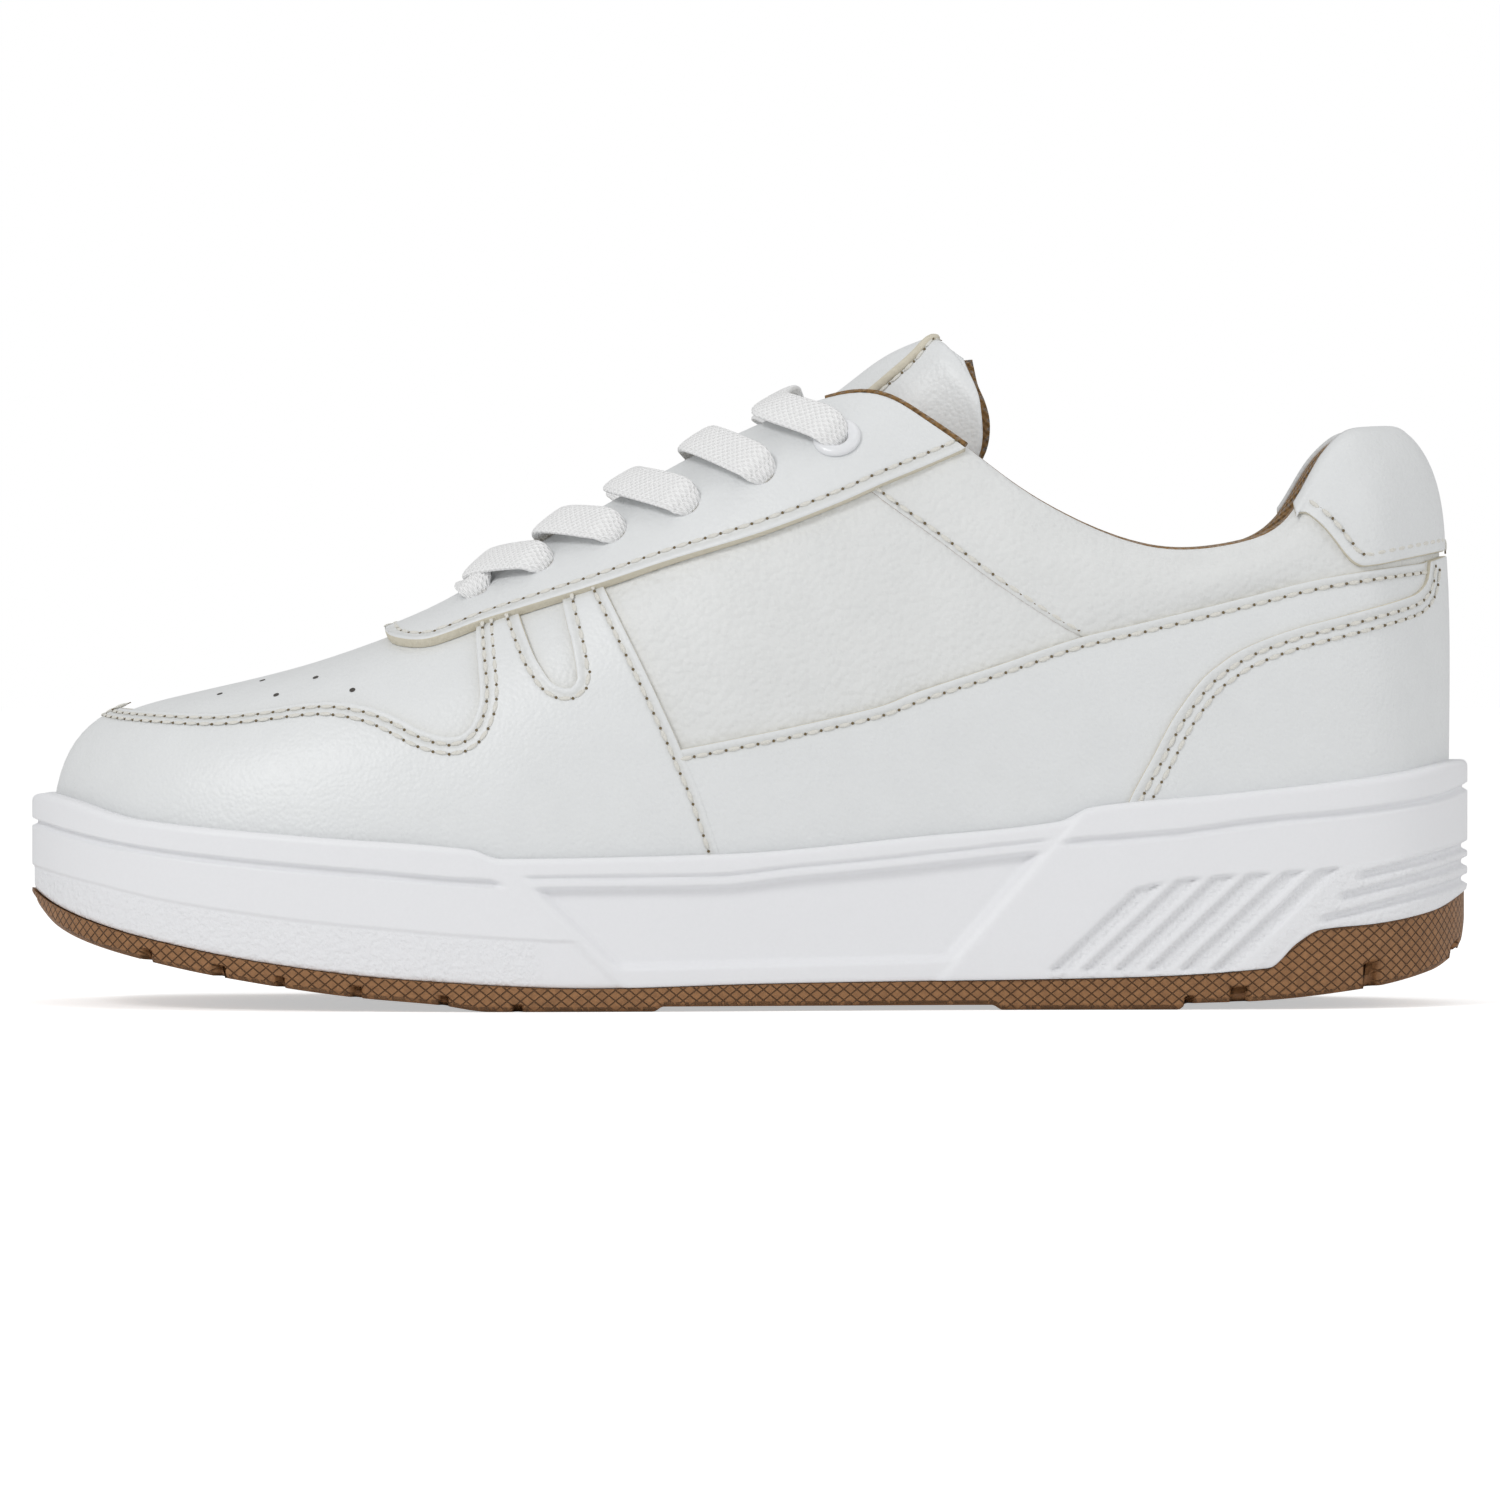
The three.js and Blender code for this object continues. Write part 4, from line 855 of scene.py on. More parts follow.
def wallStipple(x, z):  # stippled under the ledge, between the ribs and at the heel's ridges
    s = midsoleShape
    ledge = curveThrough(s["ledge"])(x)
    front = (1 - smoothStep(z, ledge - 1, ledge)) * (1 - smoothStep(x, -45, -40))
    slide = x + s["ribSlant"] * (27.7 - z)
    field = smoothStep(slide, s["ribFrom"] - 1, s["ribFrom"])
    field = field * (1 - smoothStep(slide, s["ribTo"] + 3, s["ribTo"] + 6))
    phase = np.mod(slide - s["ribFrom"], s["ribPitch"]) / s["ribPitch"]
    field = field * smoothStep(phase, 0.25, 0.35) * (1 - smoothStep(phase, 0.7, 0.85))
    heel = smoothStep(x, 108, 116)
    low = 1 - smoothStep(z, curveThrough(s["ribTop"])(x) - 1, curveThrough(s["ribTop"])(x))
    return front + np.maximum(field, heel) * low


def makeMidsole():
    s = midsoleShape
    stations = evenStations(s["pitch"])
    ring = closedRing(stations)
    rows = []
    x, y = outline(ring, 0)
    bottom, rim = soleTop(x) + 0.15, rimAt(x)
    for share in np.linspace(0, 1, s["rows"] + 1):
        z = bottom + (rim - s["rimRound"] - bottom) * share
        inset = wallRelief(x, z)
        inset = inset + 0.2 * (1 - smoothStep(z - bottom, 0, 0.8))
        px, py = outline(ring, inset)
        rows.append(np.stack([px, py, z], -1))
    topInset = wallRelief(x, rim - s["rimRound"])
    for angle in np.radians([25, 50, 72, 90]):
        px, py = outline(ring, topInset + s["rimRound"] * (1 - math.cos(angle)))
        rows.append(np.stack([px, py, rim - s["rimRound"] * (1 - math.sin(angle))], -1))
    for inset, drop in ((s["wall"] - 0.7, 0.0), (s["wall"] - 0.2, 0.25), (s["wall"], 0.8), (s["wall"], 8)):
        px, py = outline(ring, inset)
        rows.append(np.stack([px, py, rim - drop], -1))
    px, py = outline(ring, s["wall"])
    rows.append(np.stack([px, py, bottom], -1))
    verts = np.vstack(rows)
    faces = gridFaces(len(rows), len(ring), closeRows=True, closeColumns=True)
    obj = makeObject("midsole_wall", verts, faces, [finish["white_rubber"]])
    putAttribute(obj, "stipple", wallStipple(verts[:, 0], verts[:, 2]))
    faceOutwards(obj)
    return obj


socklinerShape = {"pitch": 3.0, "across": 28, "inset": 10.2, "narrower": 0.08, "cup": 1.2}


def makeSockliner():
    s = socklinerShape
    stations, steps = evenStations(s["pitch"]), s["across"]
    x, y = soleGrid(stations, s["inset"], steps)
    y = y * (1 - s["narrower"] * smoothStep(-x, -5, 40))
    top = coreTop(x) + 2.2 + np.interp(x, [-150, 150], [4, 6])
    share = np.abs(np.linspace(-1, 1, steps + 1))[None, :]
    cup = s["cup"] * share ** 4 * smoothStep(x, -90, -30)
    upper = np.stack([x, y, top - 1.0 + cup], -1).reshape(-1, 3)
    lower = np.stack([x, y, coreTop(x) + 2.25], -1).reshape(-1, 3)
    n, columns = len(stations), steps + 1
    faces = gridFaces(n, columns)
    faces += shifted([f[::-1] for f in faces], len(upper))
    side = [i * columns for i in range(n)], [i * columns + steps for i in range(n)]
    for row in side:
        faces += [(a, b, len(upper) + b, len(upper) + a) for a, b in zip(row, row[1:])]
    obj = makeObject("sockliner_cover", np.vstack([upper, lower]), faces, [finish["tan_textile"]])
    faceOutwards(obj)
    return obj


finishPiece(makeOutsole(), "shoe", "gum_rubber", "outsole")
finishPiece(makeMidsole(), "shoe", "white_sole", "midsole_cup")
finishPiece(makeSockliner(), "footbed", "tan_textile", "sockliner")
print("sole made")

# ---- the upper ----

upperLines = {  # edges in the side view, from the toe to the heel
    "guardTop": [(-134.9, 60.6), (-124.9, 59.7), (-109.7, 59.3), (-99.6, 60.2), (-89.6, 61.6),
                 (-82.9, 61.8), (-76.3, 60.7), (-71, 58.7), (-66.3, 56.4), (-61.6, 55.1), (-58.3, 55.4),
                 (-56.3, 57.1), (-54.9, 60.1), (-54.3, 64.1), (-55.1, 73.3), (-55.6, 80.5)],
    "finger": [(-48, 84), (-46.7, 80), (-43.8, 72.4), (-41.9, 69), (-40, 66.4), (-37.9, 65.2),
               (-35.7, 65.1), (-34.6, 66.6), (-34.5, 68), (-35.4, 73.8), (-36.6, 78.6), (-38.2, 86)],
    "guardRear": [(-30.5, 89), (-29.2, 85.5), (-21.5, 69.9), (-15.1, 56), (-13.1, 51.2), (-10.2, 44.5),
                  (-6.2, 32.5), (-3, 22)],
    "eyestay": [(-75.4, 77.6), (-74.5, 75.9), (-72.6, 74.5), (-67.8, 73.9), (-63.1, 74.7), (-53.5, 78.3),
                (-43.8, 81.4), (-29.5, 86), (-15.1, 91), (2.6, 96.6), (18.1, 102.6), (28.2, 107.1),
                (38.3, 111.2), (44.5, 113.9)],
    "sideTop": [(-16, 52.4), (-13.9, 52.8), (-0.5, 55.5), (9.5, 57.6), (26.4, 61.6), (34.6, 64.7),
                (50.4, 69.9), (66.7, 75.4), (81.1, 78.8), (98.8, 83.1), (114.4, 87), (124.4, 89),
                (138.7, 91.2)],
    "heelFront": [(73.5, 30), (77.9, 42.1), (83, 51.8), (87.2, 59.7), (92.4, 66.8), (96.4, 70.3),
                  (101.6, 73.6), (110.4, 77), (122.4, 80.4), (134.4, 83.9), (137.6, 85.6),
                  (139.2, 87.9), (139.8, 91.5)],
    "tab": [(112.2, 101.2), (114.4, 101), (116.4, 99.6), (118.4, 97.6), (120.4, 95), (122.4, 92.4),
            (124, 91), (125.6, 90.4), (127.6, 90.6), (134.4, 92), (140.4, 93.3), (146.2, 94.6)],
    "collar": [(10, 115), (24, 106.8), (28.9, 103.1), (38.5, 96.2), (49.7, 87.8), (60.9, 80.3),
               (65.7, 77.4), (72, 74.8), (90, 77), (120, 82), (150, 87)],
    "eyelets": [(-54.5, 83.9), (-41, 89.6), (-26.1, 95.9), (-11.1, 101.8), (3.9, 108.2), (18.6, 115.6)],
}
collarLine, sideLine = curveThrough(upperLines["collar"]), curveThrough(upperLines["sideTop"])
layers = {"base": 1.1, "guard": 1.5, "side": 1.35, "heel": 2.2, "eyestay": 2.25, "collar": 0.55, "tab": 1.3}


def edgeRun(name, side, pitch=1.2):
    return locate(softLine(upperLines[name], pitch), side)


def levelRun(start, stop, t, pitch=0.12):
    count = max(int(abs(stop - start) / pitch), 2)
    g = np.linspace(start, stop, count + 1)
    height = t(g) if callable(t) else np.full_like(g, t)
    return np.stack([g, height], -1)


def toePath(name):  # a guard edge over both sides, through the toe tip
    lateral, medial = edgeRun(name, -1), edgeRun(name, 1)
    bridge = np.linspace(lateral[0][0], medial[0][0], 24)[1:-1]
    height = curveThrough([(-150, 60.9), (-134.9, 60.6), (-120, 60.3)])
    middle = np.stack([bridge, heightOn(bridge, height)], -1)
    return np.vstack([lateral[::-1], middle, medial])


def joinLoop(*parts):
    loop = np.vstack(parts)
    step = np.linalg.norm(np.diff(toFlat(loop), axis=0), axis=1)
    loop = loop[np.concatenate([[True], step > 0.15])]
    if np.linalg.norm(toFlat(loop[:1]) - toFlat(loop[-1:])) < 0.15:
        loop = loop[:-1]
    return loop


def throatEdge(g):
    return 1 - 0.014 * smoothStep(np.abs(g), 5.0, 5.6)


def onSkin(places, depth):
    places = np.asarray(places)
    lift = depth(places[:, 0], places[:, 1]) if callable(depth) else np.full(len(places), float(depth))
    return offLast(places[:, 0], places[:, 1], lift), lastNormal(places[:, 0], places[:, 1])


sides = ((-1, "lateral"), (1, "medial"))
seams = {"shoe": [], "tongue": []}


def sewRow(places, inset, depth, side, trim=(0, 0)):
    # a row of stitches beside an edge; inset counts upwards for an edge that runs to the heel
    points, normals = onSkin(places, depth)
    ahead = unit(np.gradient(points, axis=0))
    across = unit(np.cross(normals, ahead)) * -side
    points = points + across * inset
    both = evenRun(np.hstack([points, normals]), 0.8)
    end = len(both) - trim[1]
    seams["shoe"].append(both[trim[0]:end])


def holeLoop(place, radius, count=20):
    g, t = place
    perU = np.linalg.norm(onLast(g + 0.02, t) - onLast(g - 0.02, t)) / (
        toFlat(np.array([[g + 0.02, t]]))[0, 0] - toFlat(np.array([[g - 0.02, t]]))[0, 0])
    perV = np.linalg.norm(onLast(g, t + 0.005) - onLast(g, t - 0.005)) / (0.01 * flatHeight)
    angle = np.linspace(0, 2 * math.pi, count, endpoint=False)
    centre = toFlat(np.array([place]))[0]
    return fromFlat(np.stack([centre[0] + radius / perU * np.cos(angle),
                              centre[1] + radius / perV * np.sin(angle)], -1))


smoothCut = [smoothLeather, finish["cut_edge"]]
eyeletPlaces = {side: locate(upperLines["eyelets"], side) for side in (-1, 1)}


def guardDepth(g, t):  # pressed flat where the eyestay covers it
    under = heightOn(g, curveThrough([(-100, 70)] + upperLines["eyestay"]))
    near = smoothStep((t - under) * flatHeight, -3.5, 0.5) * (np.abs(g) > 4)
    return layers["guard"] - 0.75 * near


def makeVamp():
    loop = joinLoop(levelRun(-6.73, 6.73, 0.02, 0.14), levelRun(6.73, -6.73, throatEdge, 0.1))
    return skinFrom("vamp_leather", [[loop]], 0.0, smoothCut, 2.8, thick=layers["base"])


def makeGuard():
    top = toePath("guardTop")
    parts = []
    for side in (-1, 1):
        rear, finger = edgeRun("guardRear", side), edgeRun("finger", side)
        parts.append((finger, rear))
    medialFinger, medialRear = parts[1]
    lateralFinger, lateralRear = parts[0]
    bottom = levelRun(medialRear[-1][0], lateralRear[-1][0], 0.02, 0.14)
    loop = joinLoop(lateralRear[::-1], lateralFinger[::-1], top, medialFinger, medialRear, bottom)
    rim = onSkin(np.vstack([top, medialFinger, medialRear, lateralFinger, lateralRear]), 1.5)[0]
    for inset in (-1.5, -3.5):  # two rows round the toe, from one side's throat to the other's
        sewRow(top, inset, layers["guard"], 1, (4, 4))
    obj = skinFrom("toe_guard_leather", [[loop]], guardDepth, smoothCut,
                   2.6, stitched=[rim])
    for side, (finger, rear) in zip((-1, 1), parts):
        sewRow(finger, -2.2, layers["guard"], side, (4, 6))
        sewRow(rear, -1.9, layers["guard"], side, (5, 8))
    return obj


def makeEyestay():
    shapes, rims = [], []
    for side in (-1, 1):
        edge = edgeRun("eyestay", side)
        front = np.array([[side * 3.98, 1.0]])
        top = levelRun(edge[-1][0], side * 3.98, throatEdge, 0.1)
        holes = [holeLoop(place, 2.4) for place in eyeletPlaces[side]]
        shapes.append([joinLoop(front, edge, top[:-1])] + holes)
        rim = np.vstack([front, edge])
        rims.append(onSkin(rim, layers["eyestay"])[0])
        sewRow(rim, 2.3, layers["eyestay"], side, (2, 3))
    return skinFrom("eyestay_leather", shapes, layers["eyestay"], smoothCut,
                    2.4, stitched=rims)


def makeQuarter(side, name):
    def top(g):
        free = np.abs(g) < 8.9
        line = heightOn(g, collarLine) + 0.06
        return np.where(free, throatEdge(g), np.minimum(line, 0.97))

    front, back = side * 6.77, side * 15.99
    loop = joinLoop(levelRun(front, back, 0.02, 0.14), levelRun(back, front, top, 0.06))
    return skinFrom(f"quarter_leather_{name}", [[loop]], 0.0, [grainedLeather, finish["cut_edge"]],
                    3.0, thick=layers["base"])


def makeSideOverlay(side, name):
    top = edgeRun("sideTop", side)
    front = locate(softLine([(-10.5, 24), (-12, 40), (-16, 51.5)], 1.5), side)
    rear = levelRun(top[-1][0], side * 15.8, lambda g: np.full_like(g, top[-1][1]), 0.1)
    down = np.stack([np.full(20, side * 15.8), np.linspace(top[-1][1], 0.02, 20)], -1)
    bottom = levelRun(side * 15.8, front[0][0], 0.02, 0.14)
    loop = joinLoop(front, top, rear, down, bottom)
    obj = skinFrom(f"side_overlay_leather_{name}", [[loop]], layers["side"],
                   smoothCut, 2.8, stitched=[onSkin(top, layers["side"])[0]])
    sewRow(top, -1.8, layers["side"], side, (4, 0))
    return obj


def makeHeelOverlay():
    lateral, medial = edgeRun("heelFront", -1), edgeRun("heelFront", 1)
    back = 32 + lateral[:, :1]
    lateral = np.hstack([back, lateral[:, 1:]])
    top = np.linspace(medial[-1][0], lateral[-1][0], 40)
    level = np.interp(top, [medial[-1][0], 16, lateral[-1][0]],
                      [medial[-1][1], medial[-1][1], lateral[-1][1]])
    bottom = levelRun(lateral[0][0], medial[0][0], 0.02, 0.14)
    loop = joinLoop(medial, np.stack([top, level], -1), lateral[::-1], bottom)
    rim = [onSkin(medial, layers["heel"])[0], onSkin(lateral, layers["heel"])[0]]
    obj = skinFrom("heel_overlay_leather", [[loop]], layers["heel"], smoothCut,
                   2.6, stitched=rim)
    for side, run in ((-1, edgeRun("heelFront", -1)), (1, medial)):
        for inset in (-1.9, -3.9):
            sewRow(run, inset, layers["heel"], side, (5, 2))
    return obj


collarShape = {
    "from": 8.95, "puff": 2.0, "outerRows": 18, "arcRows": 12, "innerRows": 16, "pad": 4.4, "split": 48,
    "bottomInside": 0.5,
}


def collarRegion(g):
    station = np.where(g > 16, 32 - g, np.abs(g))
    return smoothStep(station, 9.3, 11.6), smoothStep(station, 12.9, 14.2)


def collarTop(g):  # where the roll over the top edge starts, its radius and its middle depth
    padded, heel = collarRegion(g)
    inner = -3.8 - collarShape["pad"] * padded
    outer = 0.1 + 0.5 * padded
    radius = (outer - inner) / 2
    speed = np.linalg.norm(onLast(g, 0.99) - onLast(g, 0.94), axis=-1) / 0.05
    raised = 0.4 + 2.2 * (1 - padded)
    return 1 + (raised - radius * 0.92) / speed, radius, (outer + inner) / 2


def collarDepth(g, t):
    padded, heel = collarRegion(g)
    start = heightOn(g, collarLine)
    rise = np.clip((t - start) / np.maximum(collarTop(g)[0] - start, 0.02), 0, 1)
    foot = np.maximum(start, heightOn(g, sideLine) + 0.012)  # the padding starts above the side overlay
    swell = np.clip((t - foot) / np.maximum(collarTop(g)[0] - foot, 0.02), 0, 1)
    puff = collarShape["puff"] * padded * (1 - 0.65 * heel) * np.sin(math.pi * swell) ** 0.8
    return 0.1 + (layers["collar"] - 0.1) * smoothStep(rise, 0, 0.05) + puff + 0.05 * padded * rise


def collarSection(g, rise, angle, fall, lift):  # a point of the padded section at each station g
    top, radius, middle = collarTop(g)
    normal = lastNormal(g, np.minimum(top, 0.98))
    seat = onLast(g, top)
    up = unit(onLast(g, np.minimum(top + 0.03, 1.0)) - onLast(g, top - 0.03))
    if angle is not None:
        reach = radius + lift
        out, above = middle + reach * math.cos(angle), reach * 0.92 * math.sin(angle)
        return seat + normal * out[:, None] + up * above[:, None]
    if fall is not None:
        padded, heel = collarRegion(g)
        t = top + (collarShape["bottomInside"] - top) * fall
        depth = middle - radius - 1.6 * padded * math.sin(math.pi * min(fall * 1.3, 1)) * (1 - fall)
        depth = depth * (1 - smoothStep(fall, 0.45, 1.0)) + -3.6 * smoothStep(fall, 0.45, 1.0)
        return onLast(g, t) + lastNormal(g, t) * depth[:, None]
    start = rise[0]
    t = start + (top - start) * rise[1]
    return offLast(g, t, collarDepth(g, t) + lift)


def makeCollar():
    s = collarShape
    g = np.concatenate([np.arange(s["from"], 12.5, 0.07), np.arange(12.5, 16, 0.045)])
    g = np.concatenate([g, [16], 32 - g[::-1]])
    start = heightOn(g, collarLine)
    rows, kinds = [], []
    for rise in np.concatenate([[0, 0.012, 0.03], np.linspace(0.06, 1, s["outerRows"])]):
        rows.append(collarSection(g, (start, rise), None, None, 0.0))
        kinds.append(0)
    for angle in np.radians(np.linspace(0, 180, s["arcRows"] + 1))[1:]:
        rows.append(collarSection(g, None, angle, None, 0.0))
        kinds.append(0 if math.degrees(angle) < s["split"] + 1 else 1)
    for fall in np.linspace(0, 1, s["innerRows"] + 1)[1:]:
        rows.append(collarSection(g, None, None, fall, 0.0))
        kinds.append(1)
    closing = [offLast(g, np.full_like(g, s["bottomInside"]), np.full_like(g, -2.9)),
               offLast(g, start, np.full_like(g, -0.6))]
    rows += closing
    kinds += [1, 1]
    n = len(g)
    verts = np.vstack(rows)
    faces = gridFaces(len(rows), n, closeRows=True)
    faceKinds = [kinds[min(i + 1, len(kinds) - 1)] if i < len(kinds) - 1 else 1
                 for i in range(len(rows)) for _ in range(n - 1)]
    faces += endCaps(len(rows), n)
    faceKinds += [1, 1]
    obj = makeObject("collar_pad", verts, faces, [grainedLeather, finish["tan_textile"]], faceKinds)
    faceOutwards(obj)
    for side in (-1, 1):
        line = softLine([p for p in upperLines["collar"] if 24 <= p[0] <= 66], 1.2)
        sewRow(locate(line, side), 1.0, layers["collar"] + 0.25, side, (3, 0))
    return obj


def makeTab():
    line = curveThrough([(100, 103)] + upperLines["tab"] + [(155, 96)])
    ends = locate([upperLines["tab"][0]], 1)[0][0]
    g = np.concatenate([np.linspace(ends + 0.02, 14.2, 28), np.linspace(14.2, 16, 26)[1:]])
    g = np.concatenate([g, 32 - g[::-1][1:]])
    start = heightOn(g, line)
    rows = []
    lifts = [0.02, 0.7, 1.1, layers["tab"]]
    for rise, lift in zip((0, -0.002, 0.006, 0.016), lifts):
        rows.append(collarSection(g, (start, rise), None, None, lift))
    for rise in np.linspace(0.03, 1, 22):
        rows.append(collarSection(g, (start, rise), None, None, layers["tab"]))
    angles = np.radians(np.linspace(0, collarShape["split"] + 6, 7))[1:]
    for angle in angles:
        rows.append(collarSection(g, None, angle, None, layers["tab"]))
    rows.append(collarSection(g, None, angles[-1] + 0.02, None, 0.5))
    rows.append(collarSection(g, None, angles[-1], None, -0.1))
    for angle in angles[::-1][1:]:
        rows.append(collarSection(g, None, angle, None, -0.1))
    for rise in np.linspace(1, 0.02, 8):
        rows.append(collarSection(g, (start, rise), None, None, -0.1))
    n = len(g)
    faces = gridFaces(len(rows), n, closeRows=True)
    kinds = [1 if i < 2 else 0 for i in range(len(rows)) for _ in range(n - 1)]
    faces += endCaps(len(rows), n)
    kinds += [1, 1]
    obj = makeObject("heel_tab_leather", np.vstack(rows), faces, smoothCut, kinds)
    faceOutwards(obj)
    run = softLine(upperLines["tab"][1:], 1.2)
    for side in (-1, 1):
        sewRow(locate(run, side), 2.4, lambda g, t: collarDepth(np.abs(g), t) + layers["tab"], side, (1, 2))
    return obj


def makeLining(side, name):  # the textile inside: one skin on each side from the toe round to the heel
    rows = []
    g = side * np.linspace(0, 16, 110)
    top = np.where(np.abs(g) < 9.2, 0.975, 0.55)
    for depth, shares in ((-3.2, np.linspace(0, 1, 40)), (-3.8, np.linspace(1, 0, 40))):
        rows += [offLast(g, 0.01 + (top - 0.01) * share, np.full_like(g, depth)) for share in shares]
    faces = gridFaces(len(rows), len(g), closeRows=True) + endCaps(len(rows), len(g))
    obj = makeObject(f"lining_{name}", np.vstack(rows), faces, [finish["tan_textile"]])
    faceOutwards(obj)
    return obj


finishPiece(makeVamp(), "shoe", "white_leather", "vamp")
finishPiece(makeGuard(), "shoe", "white_leather", "toe_guard")
finishPiece(makeEyestay(), "shoe", "white_leather", "eyestay")
finishPiece(makeHeelOverlay(), "shoe", "white_leather", "heel_overlay")
for side, name in sides:
    finishPiece(makeQuarter(side, name), "shoe", "grained_leather", f"quarter_{name}")
    finishPiece(makeSideOverlay(side, name), "shoe", "white_leather", f"side_overlay_{name}")
collar = makeCollar()
finishPiece(collar, "shoe", "grained_leather", "collar_foam")
finishPiece(makeTab(), "shoe", "white_leather", "heel_tab")
for (side, name), other in zip(sides, ("vamp_lining", "heel_lining")):
    finishPiece(makeLining(side, name), "shoe", "tan_textile", f"quarter_lining_{name}", other)
print("upper made")

# ---- the tongue ----

tongueShape = {
    "drop": 8.12,
    "under": [((-70, 71), 4.5, 0.93, 0.86), ((-61, 75.6), 5.2, 0.93, 0.84), ((-50, 82.6), 6, 0.97, 0.86),
              ((-27, 98.4), 7, 0.97, 0.85), ((0, 113.2), 8, 0.97, 0.85)],
    "free": [((19, 0, 127), (22, 12, 119.5), (27, 20.5, 105)),
             ((29, 0, 134), (34, 12.5, 128.5), (46, 19.5, 111)),
             ((36, 0, 137.2), (39.5, 12, 135.2), (48, 19.5, 124)),
             ((38.5, 0, 137.6), (41, 9.5, 136.6), (44.5, 14, 134))],
    "rows": 90, "columns": 48, "thick": 6.6, "edge": 2.8, "crown": 0.9, "cordAt": 0.36, "cordRadius": 1.0,
}


def splineAt(points, share):  # a smooth run through points, at shares from 0 to 1
    p = np.array(points, float)
    p = np.concatenate([[2 * p[0] - p[1]], p, [2 * p[-1] - p[-2]]])
    place = np.clip(np.asarray(share, float), 0, 1) * (len(p) - 3)
    i = np.minimum(place.astype(int), len(p) - 4)
    u = (place - i)[..., None]
    return catmull(p[i], p[i + 1], p[i + 2], p[i + 3], u)


def tongueRails():
    s = tongueShape
    rows = []
    for (x, z), station, shoulder, side in s["under"]:
        def beside(sign, t, depth):
            here, there = (spotOn((way * station, t), -depth)[0] for way in (sign, -sign))
            return (here[0], sign * (abs(here[1]) + abs(there[1])) / 2, here[2])

        rows.append([beside(-1, side, s["drop"] + 1), beside(-1, shoulder, s["drop"]), (x, 0, z),
                     beside(1, shoulder, s["drop"]), beside(1, side, s["drop"] + 1)])
    for middle, shoulder, side in s["free"]:
        rows.append([(side[0], -side[1], side[2]), (shoulder[0], -shoulder[1], shoulder[2]), middle,
                     shoulder, side])
    return [[row[k] for row in rows] for k in range(5)]


rails = tongueRails()


def onTongue(u, v):
    u, v = np.broadcast_arrays(np.asarray(u, float), np.asarray(v, float))
    rows = np.stack([splineAt(rail, v) for rail in rails], -2)
    place = (u + 1) / 2 * 4
    i = np.clip(place.astype(int), 0, 3)
    f = (place - i)[..., None]

    def pick(k):
        inner = np.clip(k, 0, 4)
        point = np.take_along_axis(rows, inner[..., None, None], -2)[..., 0, :]
        below = 2 * rows[..., 0, :] - rows[..., 1, :]
        above = 2 * rows[..., 4, :] - rows[..., 3, :]
        return np.where((k < 0)[..., None], below, np.where((k > 4)[..., None], above, point))

    return catmull(pick(i - 1), pick(i), pick(i + 1), pick(i + 2), f)


def tongueNormal(u, v):
    across = onTongue(np.clip(u + 0.03, -1, 1), v) - onTongue(np.clip(u - 0.03, -1, 1), v)
    along = onTongue(u, np.clip(v + 0.015, 0, 1)) - onTongue(u, np.clip(v - 0.015, 0, 1))
    return unit(np.cross(along, across))


def makeTongue():
    s = tongueShape
    u, v = np.meshgrid(np.linspace(-1, 1, s["columns"] + 1), np.linspace(0, 1, s["rows"] + 1))
    normal = tongueNormal(u, v)
    seat = onTongue(u, v)
    side = 1 - np.abs(u) ** 6
    end = smoothStep(1 - v, 0, 0.05) * 0.9 + 0.1
    crown = s["crown"] * side * smoothStep(v, 0.45, 0.75)
    outer = seat + normal * (crown * end)[..., None]
    full = s["edge"] + (s["thick"] - s["edge"]) * side * end
    inner = seat - normal * full[..., None]
    rows, columns = u.shape
    verts = [outer.reshape(-1, 3), inner.reshape(-1, 3)]
    faces = gridFaces(rows, columns)
    kinds = [0] * len(faces)
    base = rows * columns
    faces += shifted([f[::-1] for f in faces], base)
    kinds += [1] * len(kinds)
    border = ([j for j in range(columns)] + [i * columns + columns - 1 for i in range(1, rows)]
              + [(rows - 1) * columns + j for j in range(columns - 2, -1, -1)]
              + [i * columns for i in range(rows - 2, 0, -1)])
    flatOuter, flatInner = verts[0][border], verts[1][border]
    centre = (np.roll(flatOuter, -2, axis=0) - np.roll(flatOuter, 2, axis=0))
    out = unit(np.cross(centre, flatOuter - flatInner))
    start = 2 * base
    rings = []
    for share, push in ((0.12, 0.1), (0.45, 1.5), (0.85, 1.2)):
        rings.append(flatOuter * (1 - share) + flatInner * share + out * push)
    verts += rings
    count = len(border)
    chain = [border] + [[start + k * count + i for i in range(count)] for k in range(3)]
    chain.append([base + i for i in border])
    for k in range(4):
        for i in range(count):
            j = (i + 1) % count
            faces.append((chain[k][i], chain[k][j], chain[k + 1][j], chain[k + 1][i]))
            kinds.append(0 if k == 0 else 1)
    obj = makeObject("tongue_pad", np.vstack(verts), faces, [smoothLeather, finish["tan_textile"]], kinds)
    faceOutwards(obj)
    return obj


def tubeAlong(points, radius, corners=10):
    points = np.asarray(points, float)
    ahead = unit(np.gradient(points, axis=0))
    side = unit(np.cross(ahead, np.array([0.3, 0.9, 0.3])))
    up = np.cross(side, ahead)
    angle = np.linspace(0, 2 * math.pi, corners, endpoint=False)
    ring = [points + radius * (side * math.cos(a) + up * math.sin(a)) for a in angle]
    verts = np.stack(ring, 1).reshape(-1, 3)
    faces = gridFaces(len(points), corners, closeColumns=True)
    faces += [tuple(range(corners)), tuple((len(points) - 1) * corners + i for i in range(corners))[::-1]]
    return verts, faces


